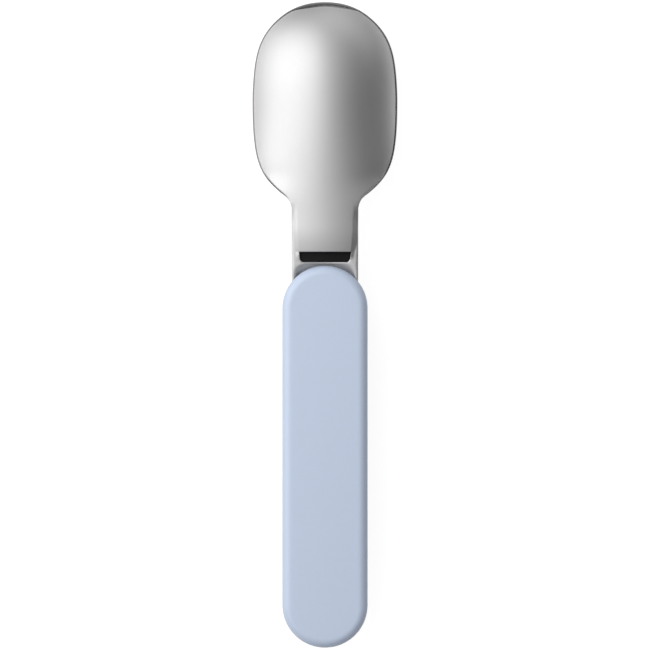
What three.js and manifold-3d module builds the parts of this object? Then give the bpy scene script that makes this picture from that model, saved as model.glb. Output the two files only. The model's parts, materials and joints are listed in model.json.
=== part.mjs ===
// Folding spoon: a stamped steel head that folds on a cross pin in a hollow plastic handle.
// Millimetres. +Y points to the tip of the bowl, +Z to the back of the spoon, which lies upwards.
// The handle's front face and the tip of the bowl touch the plane z = 0.

import * as THREE from 'three';
import { mergeVertices } from 'three/addons/utils/BufferGeometryUtils.js';
import Module from 'manifold-3d';

// Lengths along the spoon
const HANDLE_LENGTH = 98.6;
const HEAD_REACH = 68.4;
const NECK_LENGTH = 14.5;
const BOWL_TIP_LENGTH = 25.5;

// Handle
const HANDLE_HALF_WIDTH = 11.0;
const HANDLE_THICKNESS = 11.0;
const SIDE_WALL = 1.6;
const BACK_WALL = 1.4;
const FRONT_WALL = 1.6;
const BACK_EDGE_ROUND = 2.0;
const FRONT_EDGE_ROUND = 1.6;
const SEAM_GAP = 0.3;
const LIP_HEIGHT = 1.2;
const LIP_THICKNESS = 0.8;
const LIP_CLEARANCE = 0.2;
const END_ARC_STEPS = 20;
const EDGE_STEPS = 6;

// Bowl, with the pull of its outline towards the tip and down the sides
const BOWL_HALF_WIDTH = 18.8;
const BOWL_TOP_Z = 11.2;
const BOWL_DEPTH = 8.9;
const BOWL_RIM_ANGLE = THREE.MathUtils.degToRad(75);
const TIP_FULLNESS = 11.2;
const SIDE_FULLNESS_UP = 18;
const SIDE_FULLNESS_DOWN = 16;
const SHEET = 1.0;

// Shoulder between bowl and neck
const SHOULDER_OUT = 2.6;
const SHOULDER_RISE = 4.2;
const SHOULDER_SLANT = THREE.MathUtils.degToRad(40);
const SHOULDER_SWEEP = 7.5;
const FILLET_ENTRY = 2.2;
const FILLET_EXIT = 1.6;
const CHANNEL_BLEND = 14;

// Neck, an upturned channel with a step at its slot
const CHANNEL_SQUARENESS = 6;
const NECK_STEP = 1.2;
const NECK_ROOT_DEPTH = 3.0;
const NECK_MIDDLE_DEPTH = 4.0;
const NECK_SLOT_DEPTH = 5.0;
const SLOT_SETBACK = 1.0;
const SLOT_WIDTH = 2.6;
const SLOT_END_MARGIN = 2.0;
const SLOT_CORNER = 0.6;

// Hinge
const PIN_SETBACK = 11.1;
const PIN_RADIUS = 1.25;
const PIN_SEAT_DEPTH = 0.8;
const RUNNING_CLEARANCE = 0.1;
const SEAT_CLEARANCE = 0.15;
const EAR_RADIUS = 3.2;
const WEB_ABOVE_PIN = 3.6;
const WEB_TAIL = 1.3;
const STOP_CLEARANCE = 0.3;
const STOP_BEYOND_LEAF = 3.0;
const WASHER_THICKNESS = 0.4;
const WASHER_RADIUS = 3.0;
const WASHER_CLEARANCE = 0.2;

// Hinge block between the ears
const BLOCK_NOSE_RADIUS = 2.0;
const BLOCK_SIDE_CLEARANCE = 1.6;
const BLOCK_END_CLEARANCE = 2.6;
const BLOCK_ARM_DROP = 1.0;
const BLOCK_PAD_LENGTH = 11.0;

// Insert in the channel of the neck, with a tab that stands in the slot
const INSERT_PIN_CLEARANCE = 3.5;
const INSERT_REACH = 5.3;
const INSERT_ABOVE_PIN = 1.2;
const INSERT_BASE_GAP = 0.9;
const INSERT_TOP_GAP = 0.3;
const INSERT_BASE_CLEARANCE = 0.8;
const INSERT_TOP_CLEARANCE = 1.9;
const TAB_CLEARANCE = 0.3;
const TAB_RECESS = 0.4;

// Leaf spring on the block
const LEAF_THICKNESS = 0.35;
const LEAF_HEADROOM = 0.5;
const LEAF_SIDE_MARGIN = 0.5;
const LEAF_CLEARANCE = 0.12;
const LEAF_REACH = 1.0;
const LEAF_END_MARGIN = 0.5;
const LEAF_CORNER = 1.5;
const CLAMP_GAP = 0.1;

// Screws that hold block and leaf to the back cover
const SCREW_SPACING = 6.4;
const SCREW_INSET = 5.5;
const SCREW_RADIUS = 0.9;
const SCREW_HEAD_RADIUS = 2.1;
const SCREW_HEAD_HEIGHT = 1.1;
const SCREW_BITE = 0.9;

// Pegs of the front cover in sockets of the back cover
const PEG_COUNT = 3;
const PEG_RADIUS = 2.0;
const PEG_ENGAGE = 1.8;
const PEG_CLEARANCE = 0.3;
const SOCKET_WALL = 1.1;
const SOCKET_DEPTH = 3.6;

// Fineness of the pressed sheet
const TIP_STATIONS = 14;
const SHOULDER_STATIONS = 14;
const FILLET_STATIONS = 6;
const NECK_STATIONS = 14;
const SECTION_STEPS = 12;

// How far cutting bodies run past a face, and joined ones into it
const OVERRUN = 1.0;
const JOIN = 0.5;

// Places along the spoon
const HANDLE_FAR_Y = -(HANDLE_LENGTH + HEAD_REACH) / 2;
const HANDLE_NEAR_Y = HANDLE_FAR_Y + HANDLE_LENGTH;
const TIP_Y = HANDLE_NEAR_Y + HEAD_REACH;
const BOWL_WIDEST_Y = TIP_Y - BOWL_TIP_LENGTH;
const NECK_ROOT_Y = HANDLE_NEAR_Y + NECK_LENGTH;
const SHOULDER_Y = NECK_ROOT_Y + SHOULDER_RISE;
const SLOT_NEAR_Y = HANDLE_NEAR_Y + SLOT_SETBACK;
const SLOT_FAR_Y = SLOT_NEAR_Y + SLOT_WIDTH;
const PIN_Y = HANDLE_NEAR_Y - PIN_SETBACK;
const WEB_END_Y = PIN_Y - WEB_TAIL;
const LEAF_FRONT_Y = PIN_Y + LEAF_REACH;
const STOP_START_Y = LEAF_FRONT_Y + STOP_BEYOND_LEAF;
const NOTCH_END_Y = PIN_Y - (NECK_ROOT_Y - PIN_Y);
const BLOCK_END_Y = NOTCH_END_Y + BLOCK_END_CLEARANCE;
const SCREW_Y = BLOCK_END_Y + SCREW_INSET;

// Heights, from the back of the handle down to the pin and the block
const HANDLE_BACK_Z = HANDLE_THICKNESS;
const CEILING_Z = HANDLE_BACK_Z - BACK_WALL;
const LEAF_TOP_Z = CEILING_Z - LEAF_HEADROOM;
const LEAF_BOTTOM_Z = LEAF_TOP_Z - LEAF_THICKNESS;
const TAIL_SWING = Math.hypot(WEB_TAIL, WEB_ABOVE_PIN);
const PIN_Z = LEAF_BOTTOM_Z - LEAF_CLEARANCE - TAIL_SWING;
const WEB_TOP_Z = PIN_Z + WEB_ABOVE_PIN;
const STOP_Z = WEB_TOP_Z + STOP_CLEARANCE;
const NECK_TOP_Z = WEB_TOP_Z + NECK_STEP;
const BLOCK_PAD_Z = LEAF_BOTTOM_Z - CLAMP_GAP;
const BLOCK_ARM_BOTTOM_Z = PIN_Z - BLOCK_ARM_DROP;
const SCREW_TIP_Z = CEILING_Z + SCREW_BITE - SEAT_CLEARANCE;
const SOCKET_BOTTOM_Z = CEILING_Z - SOCKET_DEPTH;
const PEG_TOP_Z = SOCKET_BOTTOM_Z + PEG_ENGAGE;

// Half widths, from the side of the handle in to the block
const CAVITY_HALF_WIDTH = HANDLE_HALF_WIDTH - SIDE_WALL;
const NECK_HALF_WIDTH = CAVITY_HALF_WIDTH - WASHER_THICKNESS - 2 * WASHER_CLEARANCE;
const SHOULDER_X = NECK_HALF_WIDTH + SHOULDER_OUT;
const SLOT_HALF_LENGTH = NECK_HALF_WIDTH - SLOT_END_MARGIN;
const BLOCK_HALF_WIDTH = NECK_HALF_WIDTH - SHEET - BLOCK_SIDE_CLEARANCE;
const LEAF_HALF_WIDTH = BLOCK_HALF_WIDTH - LEAF_SIDE_MARGIN;
const SCREW_X = SCREW_SPACING / 2;
const PIN_SEAT_X = CAVITY_HALF_WIDTH + PIN_SEAT_DEPTH;
const PIN_HALF_LENGTH = PIN_SEAT_X - SEAT_CLEARANCE;
const LIP_INSET = SIDE_WALL + LIP_CLEARANCE;

// Holes
const SCREW_HOLE_RADIUS = SCREW_RADIUS + SEAT_CLEARANCE;
const PIN_HOLE_RADIUS = PIN_RADIUS + RUNNING_CLEARANCE;
const PIN_SEAT_RADIUS = PIN_RADIUS + SEAT_CLEARANCE;

const wasm = await Module();
wasm.setup();

// Materials
const brushedSteel = new THREE.MeshStandardMaterial({ color: 0xb9babc, roughness: 0.32, metalness: 1 });
const springSteel = new THREE.MeshStandardMaterial({ color: 0x8d9094, roughness: 0.4, metalness: 1 });
const paleBlue = new THREE.MeshStandardMaterial({ color: 0xb8c5d9, roughness: 0.6, metalness: 0 });
const blackPlastic = new THREE.MeshStandardMaterial({ color: 0x161718, roughness: 0.5, metalness: 0 });
const whitePlastic = new THREE.MeshStandardMaterial({ color: 0xe6e6e2, roughness: 0.5, metalness: 0 });

// Turn a closed geometry into a solid that can be joined and cut
function toSolid(geometry) {
  const bare = geometry.index ? geometry.toNonIndexed() : geometry.clone();
  bare.deleteAttribute('normal');
  bare.deleteAttribute('uv');
  const merged = mergeVertices(bare, 1e-4);
  return new wasm.Manifold(new wasm.Mesh({
    numProp: 3,
    vertProperties: new Float32Array(merged.attributes.position.array),
    triVerts: new Uint32Array(merged.index.array),
  }));
}

function toGeometry(solid) {
  const mesh = solid.getMesh();
  const geometry = new THREE.BufferGeometry();
  geometry.setAttribute('position', new THREE.BufferAttribute(new Float32Array(mesh.vertProperties), 3));
  geometry.setIndex(new THREE.BufferAttribute(new Uint32Array(mesh.triVerts), 1));
  geometry.computeVertexNormals();
  return geometry;
}

function piece(name, solid, material) {
  const mesh = new THREE.Mesh(toGeometry(solid), material);
  mesh.name = name;
  return mesh;
}

// Basic solids
function boxSolid(xMin, xMax, yMin, yMax, zMin, zMax) {
  const geometry = new THREE.BoxGeometry(xMax - xMin, yMax - yMin, zMax - zMin);
  geometry.translate((xMin + xMax) / 2, (yMin + yMax) / 2, (zMin + zMax) / 2);
  return toSolid(geometry);
}

function crossCylinder(radius, xMin, xMax, y, z) {
  const geometry = new THREE.CylinderGeometry(radius, radius, xMax - xMin, 32);
  geometry.rotateZ(Math.PI / 2);
  geometry.translate((xMin + xMax) / 2, y, z);
  return toSolid(geometry);
}

function uprightCylinder(radius, x, y, zMin, zMax) {
  const geometry = new THREE.CylinderGeometry(radius, radius, zMax - zMin, 24);
  geometry.rotateX(Math.PI / 2);
  geometry.translate(x, y, (zMin + zMax) / 2);
  return toSolid(geometry);
}

function uprightExtrusion(shape, zMin, zMax) {
  const geometry = new THREE.ExtrudeGeometry(shape, {
    depth: zMax - zMin,
    bevelEnabled: false,
    curveSegments: 8,
  });
  geometry.translate(0, 0, zMin);
  return toSolid(geometry);
}

function roundedRectangle(xHalf, yMin, yMax, corner) {
  const shape = new THREE.Shape();
  shape.moveTo(-xHalf + corner, yMin);
  shape.lineTo(xHalf - corner, yMin);
  shape.absarc(xHalf - corner, yMin + corner, corner, -Math.PI / 2, 0, false);
  shape.lineTo(xHalf, yMax - corner);
  shape.absarc(xHalf - corner, yMax - corner, corner, 0, Math.PI / 2, false);
  shape.lineTo(-xHalf + corner, yMax);
  shape.absarc(-xHalf + corner, yMax - corner, corner, Math.PI / 2, Math.PI, false);
  shape.lineTo(-xHalf, yMin + corner);
  shape.absarc(-xHalf + corner, yMin + corner, corner, Math.PI, 1.5 * Math.PI, false);
  return shape;
}

// Closed solid from a stack of like outlines, each a convex ring of points
function stackSolid(rings) {
  const positions = [];
  const index = [];
  const count = rings[0].length;
  for (const ring of rings) {
    for (const point of ring) {
      positions.push(point.x, point.y, point.z);
    }
  }
  for (let level = 0; level < rings.length - 1; level += 1) {
    for (let k = 0; k < count; k += 1) {
      const next = (k + 1) % count;
      const a = level * count + k;
      const b = level * count + next;
      const c = a + count;
      const d = b + count;
      index.push(a, b, d, a, d, c);
    }
  }
  const last = (rings.length - 1) * count;
  for (let k = 1; k < count - 1; k += 1) {
    index.push(0, k + 1, k);
    index.push(last, last + k, last + k + 1);
  }
  const geometry = new THREE.BufferGeometry();
  geometry.setAttribute('position', new THREE.Float32BufferAttribute(positions, 3));
  geometry.setIndex(index);
  return toSolid(geometry);
}

// Outline of the handle with full round ends, drawn in by an inset
function pillRing(inset, z) {
  const radius = HANDLE_HALF_WIDTH - inset;
  const points = [];
  const ends = [
    { y: HANDLE_NEAR_Y - HANDLE_HALF_WIDTH, start: 0 },
    { y: HANDLE_FAR_Y + HANDLE_HALF_WIDTH, start: Math.PI },
  ];
  for (const end of ends) {
    for (let k = 0; k <= END_ARC_STEPS; k += 1) {
      const angle = end.start + Math.PI * k / END_ARC_STEPS;
      points.push(new THREE.Vector3(radius * Math.cos(angle), end.y + radius * Math.sin(angle), z));
    }
  }
  return points;
}

// Rings of a rounded edge: they start at the side and end on the flat face
function edgeRings(round, faceZ, facing) {
  const rings = [];
  for (let k = 0; k <= EDGE_STEPS; k += 1) {
    const angle = Math.PI / 2 * k / EDGE_STEPS;
    rings.push(pillRing(round * (1 - Math.cos(angle)), faceZ - facing * round * (1 - Math.sin(angle))));
  }
  return rings;
}

// Places of the pegs, spread evenly behind the notch
function pegPlaces() {
  const places = [];
  for (let k = 1; k <= PEG_COUNT; k += 1) {
    places.push(THREE.MathUtils.lerp(NOTCH_END_Y, HANDLE_FAR_Y, k / (PEG_COUNT + 1)));
  }
  return places;
}

// Back cover: a tray that opens downwards, with the stop over the web at its hinge end
function backCover() {
  const seamZ = PIN_Z + SEAM_GAP / 2;
  const below = seamZ - OVERRUN;
  const reach = CAVITY_HALF_WIDTH;
  const outer = stackSolid([pillRing(0, seamZ), ...edgeRings(BACK_EDGE_ROUND, HANDLE_BACK_Z, 1)]);
  const tray = stackSolid([pillRing(SIDE_WALL, below), pillRing(SIDE_WALL, CEILING_Z)]);
  const stop = boxSolid(-reach, reach, STOP_START_Y, HANDLE_NEAR_Y, STOP_Z, HANDLE_BACK_Z);
  const mouth = boxSolid(-reach, reach, PIN_Y, HANDLE_NEAR_Y + OVERRUN, below, STOP_Z);
  let cover = outer.subtract(tray.subtract(stop)).subtract(mouth);
  for (const x of [-SCREW_X, SCREW_X]) {
    const boss = uprightCylinder(SCREW_HEAD_RADIUS, x, SCREW_Y, LEAF_TOP_Z + CLAMP_GAP, CEILING_Z + JOIN);
    const hole = uprightCylinder(SCREW_HOLE_RADIUS, x, SCREW_Y, PIN_Z, CEILING_Z + SCREW_BITE);
    cover = cover.add(boss).subtract(hole);
  }
  for (const y of pegPlaces()) {
    const inner = PEG_RADIUS + PEG_CLEARANCE;
    const socket = uprightCylinder(inner + SOCKET_WALL, 0, y, SOCKET_BOTTOM_Z, CEILING_Z + JOIN);
    const bore = uprightCylinder(inner, 0, y, SOCKET_BOTTOM_Z - OVERRUN, CEILING_Z);
    cover = cover.add(socket).subtract(bore);
  }
  cover = cover.subtract(crossCylinder(PIN_SEAT_RADIUS, -PIN_SEAT_X, PIN_SEAT_X, PIN_Y, PIN_Z));
  return piece('handle_back_cover', cover, paleBlue);
}

// Front cover: a tray that opens upwards, with a lip inside the seam and a notch for the neck
function frontCover() {
  const seamZ = PIN_Z - SEAM_GAP / 2;
  const lipZ = seamZ + SEAM_GAP + LIP_HEIGHT;
  const above = lipZ + OVERRUN;
  const reach = CAVITY_HALF_WIDTH;
  const rings = edgeRings(FRONT_EDGE_ROUND, 0, -1).reverse();
  const outer = stackSolid([...rings, pillRing(0, seamZ)]);
  const lip = stackSolid([pillRing(LIP_INSET, FRONT_WALL), pillRing(LIP_INSET, lipZ)]);
  const hollowInset = LIP_INSET + LIP_THICKNESS;
  const hollow = stackSolid([pillRing(hollowInset, FRONT_WALL), pillRing(hollowInset, above)]);
  const endWall = boxSolid(-reach, reach, NOTCH_END_Y - SIDE_WALL, NOTCH_END_Y, 0, above);
  const notch = boxSolid(-reach, reach, NOTCH_END_Y, HANDLE_NEAR_Y + OVERRUN, -OVERRUN, above);
  let cover = outer.add(lip).subtract(hollow.subtract(endWall)).subtract(notch);
  for (const y of pegPlaces()) {
    cover = cover.add(uprightCylinder(PEG_RADIUS, 0, y, FRONT_WALL - JOIN, PEG_TOP_Z));
  }
  cover = cover.subtract(crossCylinder(PIN_SEAT_RADIUS, -PIN_SEAT_X, PIN_SEAT_X, PIN_Y, PIN_Z));
  return piece('handle_front_cover', cover, paleBlue);
}

// Smooth curve of height over y through points given from low y to high y
function heightThrough(points, y) {
  const slopes = points.map((point, k) => {
    const before = points[Math.max(k - 1, 0)];
    const after = points[Math.min(k + 1, points.length - 1)];
    return (after[1] - before[1]) / (after[0] - before[0]);
  });
  let k = 0;
  while (k < points.length - 2 && y > points[k + 1][0]) {
    k += 1;
  }
  const span = points[k + 1][0] - points[k][0];
  const t = (y - points[k][0]) / span;
  const rise = points[k + 1][1] - points[k][1];
  const ease = t * t * (3 - 2 * t);
  const leave = t * (1 - t) * (1 - t) * span * slopes[k];
  const arrive = t * t * (t - 1) * span * slopes[k + 1];
  return points[k][1] + rise * ease + leave + arrive;
}

// Lower edge of the pressed sheet: the rim of the bowl, then the edge of the channel
const EDGE_HEIGHTS = [
  [WEB_END_Y - OVERRUN, PIN_Z - EAR_RADIUS],
  [PIN_Y + EAR_RADIUS, PIN_Z - EAR_RADIUS],
  [SLOT_NEAR_Y, WEB_TOP_Z - NECK_SLOT_DEPTH],
  [(SLOT_FAR_Y + NECK_ROOT_Y) / 2, NECK_TOP_Z - NECK_MIDDLE_DEPTH],
  [(NECK_ROOT_Y + SHOULDER_Y) / 2, NECK_TOP_Z - NECK_ROOT_DEPTH],
  [BOWL_WIDEST_Y, BOWL_TOP_Z - BOWL_DEPTH],
  [TIP_Y, 0],
];

function edgeHeight(y) {
  return heightThrough(EDGE_HEIGHTS, y);
}

// Height of the sheet's back along its middle
function spineHeight(y) {
  const step = THREE.MathUtils.smoothstep(y, SLOT_NEAR_Y, SLOT_FAR_Y + SHEET);
  const rise = THREE.MathUtils.smoothstep(y, SLOT_FAR_Y + SHEET, BOWL_WIDEST_Y);
  return WEB_TOP_Z + (NECK_TOP_Z - WEB_TOP_Z) * step + (BOWL_TOP_Z - NECK_TOP_Z) * rise;
}

// Stations along one half of the outline, from the tip to the end of the web.
// Each one is a ray in plan from the middle of the sheet to its edge.
function sheetStations() {
  const tip = new THREE.CubicBezierCurve(
    new THREE.Vector2(0, TIP_Y),
    new THREE.Vector2(TIP_FULLNESS, TIP_Y),
    new THREE.Vector2(BOWL_HALF_WIDTH, BOWL_WIDEST_Y + SIDE_FULLNESS_UP),
    new THREE.Vector2(BOWL_HALF_WIDTH, BOWL_WIDEST_Y),
  );
  const slant = new THREE.Vector2(Math.cos(SHOULDER_SLANT), Math.sin(SHOULDER_SLANT));
  const shoulderEnd = new THREE.Vector2(SHOULDER_X, SHOULDER_Y);
  const shoulder = new THREE.CubicBezierCurve(
    new THREE.Vector2(BOWL_HALF_WIDTH, BOWL_WIDEST_Y),
    new THREE.Vector2(BOWL_HALF_WIDTH, BOWL_WIDEST_Y - SIDE_FULLNESS_DOWN),
    shoulderEnd.clone().addScaledVector(slant, SHOULDER_SWEEP),
    shoulderEnd,
  );
  const fillet = new THREE.CubicBezierCurve(
    shoulderEnd,
    shoulderEnd.clone().addScaledVector(slant, -FILLET_ENTRY),
    new THREE.Vector2(NECK_HALF_WIDTH, NECK_ROOT_Y + FILLET_EXIT),
    new THREE.Vector2(NECK_HALF_WIDTH, NECK_ROOT_Y),
  );
  const stations = [];
  for (let k = 0; k <= TIP_STATIONS; k += 1) {
    stations.push(rayStation(new THREE.Vector2(0, BOWL_WIDEST_Y), tip.getPoint(k / TIP_STATIONS)));
  }
  for (const [curve, count] of [[shoulder, SHOULDER_STATIONS], [fillet, FILLET_STATIONS]]) {
    for (let k = 1; k <= count; k += 1) {
      const edge = curve.getPoint(k / count);
      stations.push(rayStation(new THREE.Vector2(0, edge.y), edge));
    }
  }
  for (let k = 1; k <= NECK_STATIONS; k += 1) {
    const y = THREE.MathUtils.lerp(NECK_ROOT_Y, WEB_END_Y, k / NECK_STATIONS);
    stations.push(rayStation(new THREE.Vector2(0, y), new THREE.Vector2(NECK_HALF_WIDTH, y)));
  }
  return stations;
}

function rayStation(middle, edge) {
  const reach = edge.clone().sub(middle);
  const width = reach.length();
  const channel = 1 - THREE.MathUtils.smoothstep(edge.y, NECK_ROOT_Y, NECK_ROOT_Y + CHANNEL_BLEND);
  return {
    middle,
    width,
    direction: reach.divideScalar(width),
    top: spineHeight(middle.y),
    edge: edgeHeight(edge.y),
    squareness: THREE.MathUtils.lerp(2, CHANNEL_SQUARENESS, channel),
    endAngle: THREE.MathUtils.lerp(BOWL_RIM_ANGLE, Math.PI / 2, channel),
  };
}

// Point of a section: a part of a squared ellipse from the middle out to the edge
function sectionPoint(station, share, inset, side) {
  const angle = station.endAngle * share;
  const power = 2 / station.squareness;
  const width = station.width - inset;
  const top = station.top - inset;
  const outward = width * (Math.sin(angle) / Math.sin(station.endAngle)) ** power;
  const fall = (1 - Math.max(Math.cos(angle), 0) ** power);
  const fullFall = (1 - Math.max(Math.cos(station.endAngle), 0) ** power);
  return new THREE.Vector3(
    side * station.direction.x * outward,
    station.middle.y + station.direction.y * outward,
    top - (top - station.edge) * fall / fullFall,
  );
}

// The pressed sheet as one closed shell: back, inside, edge strip and end strip
function sheetShell() {
  const stations = sheetStations();
  const positions = [];
  function triangle(a, b, c) {
    const flat = a.distanceTo(b) < 1e-6 || b.distanceTo(c) < 1e-6 || c.distanceTo(a) < 1e-6;
    if (!flat) {
      positions.push(a.x, a.y, a.z, b.x, b.y, b.z, c.x, c.y, c.z);
    }
  }
  function quad(a, b, c, d, turned) {
    if (turned) {
      triangle(a, c, b);
      triangle(a, d, c);
    } else {
      triangle(a, b, c);
      triangle(a, c, d);
    }
  }
  for (const side of [-1, 1]) {
    const grid = [0, SHEET].map((inset) => stations.map((station) => {
      const row = [];
      for (let j = 0; j <= SECTION_STEPS; j += 1) {
        row.push(sectionPoint(station, j / SECTION_STEPS, inset, side));
      }
      return row;
    }));
    const [back, inside] = grid;
    const turned = side > 0;
    for (let i = 0; i < stations.length - 1; i += 1) {
      for (let j = 0; j < SECTION_STEPS; j += 1) {
        quad(back[i][j], back[i + 1][j], back[i + 1][j + 1], back[i][j + 1], !turned);
        quad(inside[i][j], inside[i + 1][j], inside[i + 1][j + 1], inside[i][j + 1], turned);
      }
      const rim = SECTION_STEPS;
      quad(back[i][rim], back[i + 1][rim], inside[i + 1][rim], inside[i][rim], !turned);
    }
    const end = stations.length - 1;
    for (let j = 0; j < SECTION_STEPS; j += 1) {
      quad(back[end][j], back[end][j + 1], inside[end][j + 1], inside[end][j], turned);
    }
  }
  const geometry = new THREE.BufferGeometry();
  geometry.setAttribute('position', new THREE.Float32BufferAttribute(positions, 3));
  return toSolid(geometry);
}

// Spoon head: the pressed sheet with two round ears for the pin and a slot across its web
function spoonHead() {
  let head = sheetShell();
  for (const side of [-1, 1]) {
    const inner = NECK_HALF_WIDTH - SHEET;
    const xs = [side * inner, side * NECK_HALF_WIDTH].sort((a, b) => a - b);
    head = head.add(crossCylinder(EAR_RADIUS, xs[0], xs[1], PIN_Y, PIN_Z));
  }
  const reach = NECK_HALF_WIDTH + OVERRUN;
  head = head.subtract(crossCylinder(PIN_HOLE_RADIUS, -reach, reach, PIN_Y, PIN_Z));
  const slot = roundedRectangle(SLOT_HALF_LENGTH, SLOT_NEAR_Y, SLOT_FAR_Y, SLOT_CORNER);
  head = head.subtract(uprightExtrusion(slot, PIN_Z, NECK_TOP_Z + OVERRUN));
  return piece('spoon_head', head, brushedSteel);
}

// Pin, with its ends in blind seats of the two covers
function hingePin() {
  const pin = crossCylinder(PIN_RADIUS, -PIN_HALF_LENGTH, PIN_HALF_LENGTH, PIN_Y, PIN_Z);
  return piece('hinge_pin', pin, springSteel);
}

// Block: a round nose on the pin, and an arm with a raised pad for the leaf
function hingeBlock() {
  const shape = new THREE.Shape();
  const padFrontY = BLOCK_END_Y + BLOCK_PAD_LENGTH;
  const noseStart = Math.PI + Math.asin(BLOCK_ARM_DROP / BLOCK_NOSE_RADIUS);
  shape.moveTo(BLOCK_END_Y, BLOCK_ARM_BOTTOM_Z);
  shape.absarc(PIN_Y, PIN_Z, BLOCK_NOSE_RADIUS, noseStart, 2.5 * Math.PI, false);
  shape.lineTo(padFrontY, PIN_Z + BLOCK_NOSE_RADIUS);
  shape.lineTo(padFrontY, BLOCK_PAD_Z);
  shape.lineTo(BLOCK_END_Y, BLOCK_PAD_Z);
  const geometry = new THREE.ExtrudeGeometry(shape, {
    depth: 2 * BLOCK_HALF_WIDTH,
    bevelEnabled: false,
    curveSegments: 24,
  });
  geometry.rotateZ(Math.PI / 2);
  geometry.rotateY(Math.PI / 2);
  geometry.translate(-BLOCK_HALF_WIDTH, 0, 0);
  let block = toSolid(geometry);
  block = block.subtract(crossCylinder(PIN_HOLE_RADIUS, -NECK_HALF_WIDTH, NECK_HALF_WIDTH, PIN_Y, PIN_Z));
  for (const side of [-1, 1]) {
    const x = side * SCREW_X;
    const headTop = BLOCK_ARM_BOTTOM_Z + SCREW_HEAD_HEIGHT + SEAT_CLEARANCE;
    block = block.subtract(uprightCylinder(SCREW_HOLE_RADIUS, x, SCREW_Y, 0, HANDLE_BACK_Z));
    block = block.subtract(uprightCylinder(SCREW_HEAD_RADIUS + SEAT_CLEARANCE, x, SCREW_Y, 0, headTop));
  }
  return piece('hinge_block', block, blackPlastic);
}

// Insert under the web: a broad base, a narrower top and the tab in the slot
function neckInsert() {
  const rearY = PIN_Y + INSERT_PIN_CLEARANCE;
  const frontY = SLOT_FAR_Y + INSERT_REACH;
  const bottomZ = PIN_Z + INSERT_ABOVE_PIN;
  const underWebZ = WEB_TOP_Z - SHEET;
  const innerHalf = NECK_HALF_WIDTH - SHEET;
  const baseHalf = innerHalf - INSERT_BASE_CLEARANCE;
  const topHalf = innerHalf - INSERT_TOP_CLEARANCE;
  const tabHalf = SLOT_HALF_LENGTH - TAB_CLEARANCE;
  const tabRear = SLOT_NEAR_Y + TAB_CLEARANCE;
  const tabFront = SLOT_FAR_Y - TAB_CLEARANCE;
  const tabTopZ = WEB_TOP_Z - TAB_RECESS;
  const base = boxSolid(-baseHalf, baseHalf, rearY, frontY, bottomZ, underWebZ - INSERT_BASE_GAP);
  const top = boxSolid(-topHalf, topHalf, rearY, frontY, bottomZ, underWebZ - INSERT_TOP_GAP);
  const tab = uprightExtrusion(roundedRectangle(tabHalf, tabRear, tabFront, SLOT_CORNER), bottomZ, tabTopZ);
  return piece('neck_insert', base.add(top).add(tab), blackPlastic);
}

// Leaf that presses on the tail of the web
function detentSpring() {
  const rearY = BLOCK_END_Y + LEAF_END_MARGIN;
  const outline = roundedRectangle(LEAF_HALF_WIDTH, rearY, LEAF_FRONT_Y, LEAF_CORNER);
  let leaf = uprightExtrusion(outline, LEAF_BOTTOM_Z, LEAF_TOP_Z);
  for (const side of [-1, 1]) {
    leaf = leaf.subtract(uprightCylinder(SCREW_HOLE_RADIUS, side * SCREW_X, SCREW_Y, PIN_Z, HANDLE_BACK_Z));
  }
  return piece('detent_spring', leaf, springSteel);
}

// Screw from below: its head lies in the block and its tip in the back cover
function blockScrew(name, side) {
  const x = side * SCREW_X;
  const headTop = BLOCK_ARM_BOTTOM_Z + SCREW_HEAD_HEIGHT;
  const head = uprightCylinder(SCREW_HEAD_RADIUS, x, SCREW_Y, BLOCK_ARM_BOTTOM_Z, headTop);
  const shank = uprightCylinder(SCREW_RADIUS, x, SCREW_Y, headTop - JOIN, SCREW_TIP_Z);
  return piece(name, head.add(shank), springSteel);
}

// Thin washer on the pin between an ear and the side wall
function pivotWasher(name, side) {
  const near = NECK_HALF_WIDTH + WASHER_CLEARANCE;
  const xs = [side * near, side * (near + WASHER_THICKNESS)].sort((a, b) => a - b);
  const disc = crossCylinder(WASHER_RADIUS, xs[0], xs[1], PIN_Y, PIN_Z);
  const hole = crossCylinder(PIN_HOLE_RADIUS, xs[0] - OVERRUN, xs[1] + OVERRUN, PIN_Y, PIN_Z);
  return piece(name, disc.subtract(hole), whitePlastic);
}

const spoon = new THREE.Group();
spoon.add(spoonHead());
spoon.add(backCover());
spoon.add(frontCover());
spoon.add(neckInsert());
spoon.add(hingePin());
spoon.add(hingeBlock());
spoon.add(detentSpring());
spoon.add(blockScrew('block_screw_left', -1));
spoon.add(blockScrew('block_screw_right', 1));
spoon.add(pivotWasher('pivot_washer_left', -1));
spoon.add(pivotWasher('pivot_washer_right', 1));

export default spoon;
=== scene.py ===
# Folding spoon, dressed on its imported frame. Metres; +Y to the tip of the bowl, +Z out of the spoon's back.

import json
import math

import bmesh
import bpy
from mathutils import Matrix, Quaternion, Vector


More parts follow.
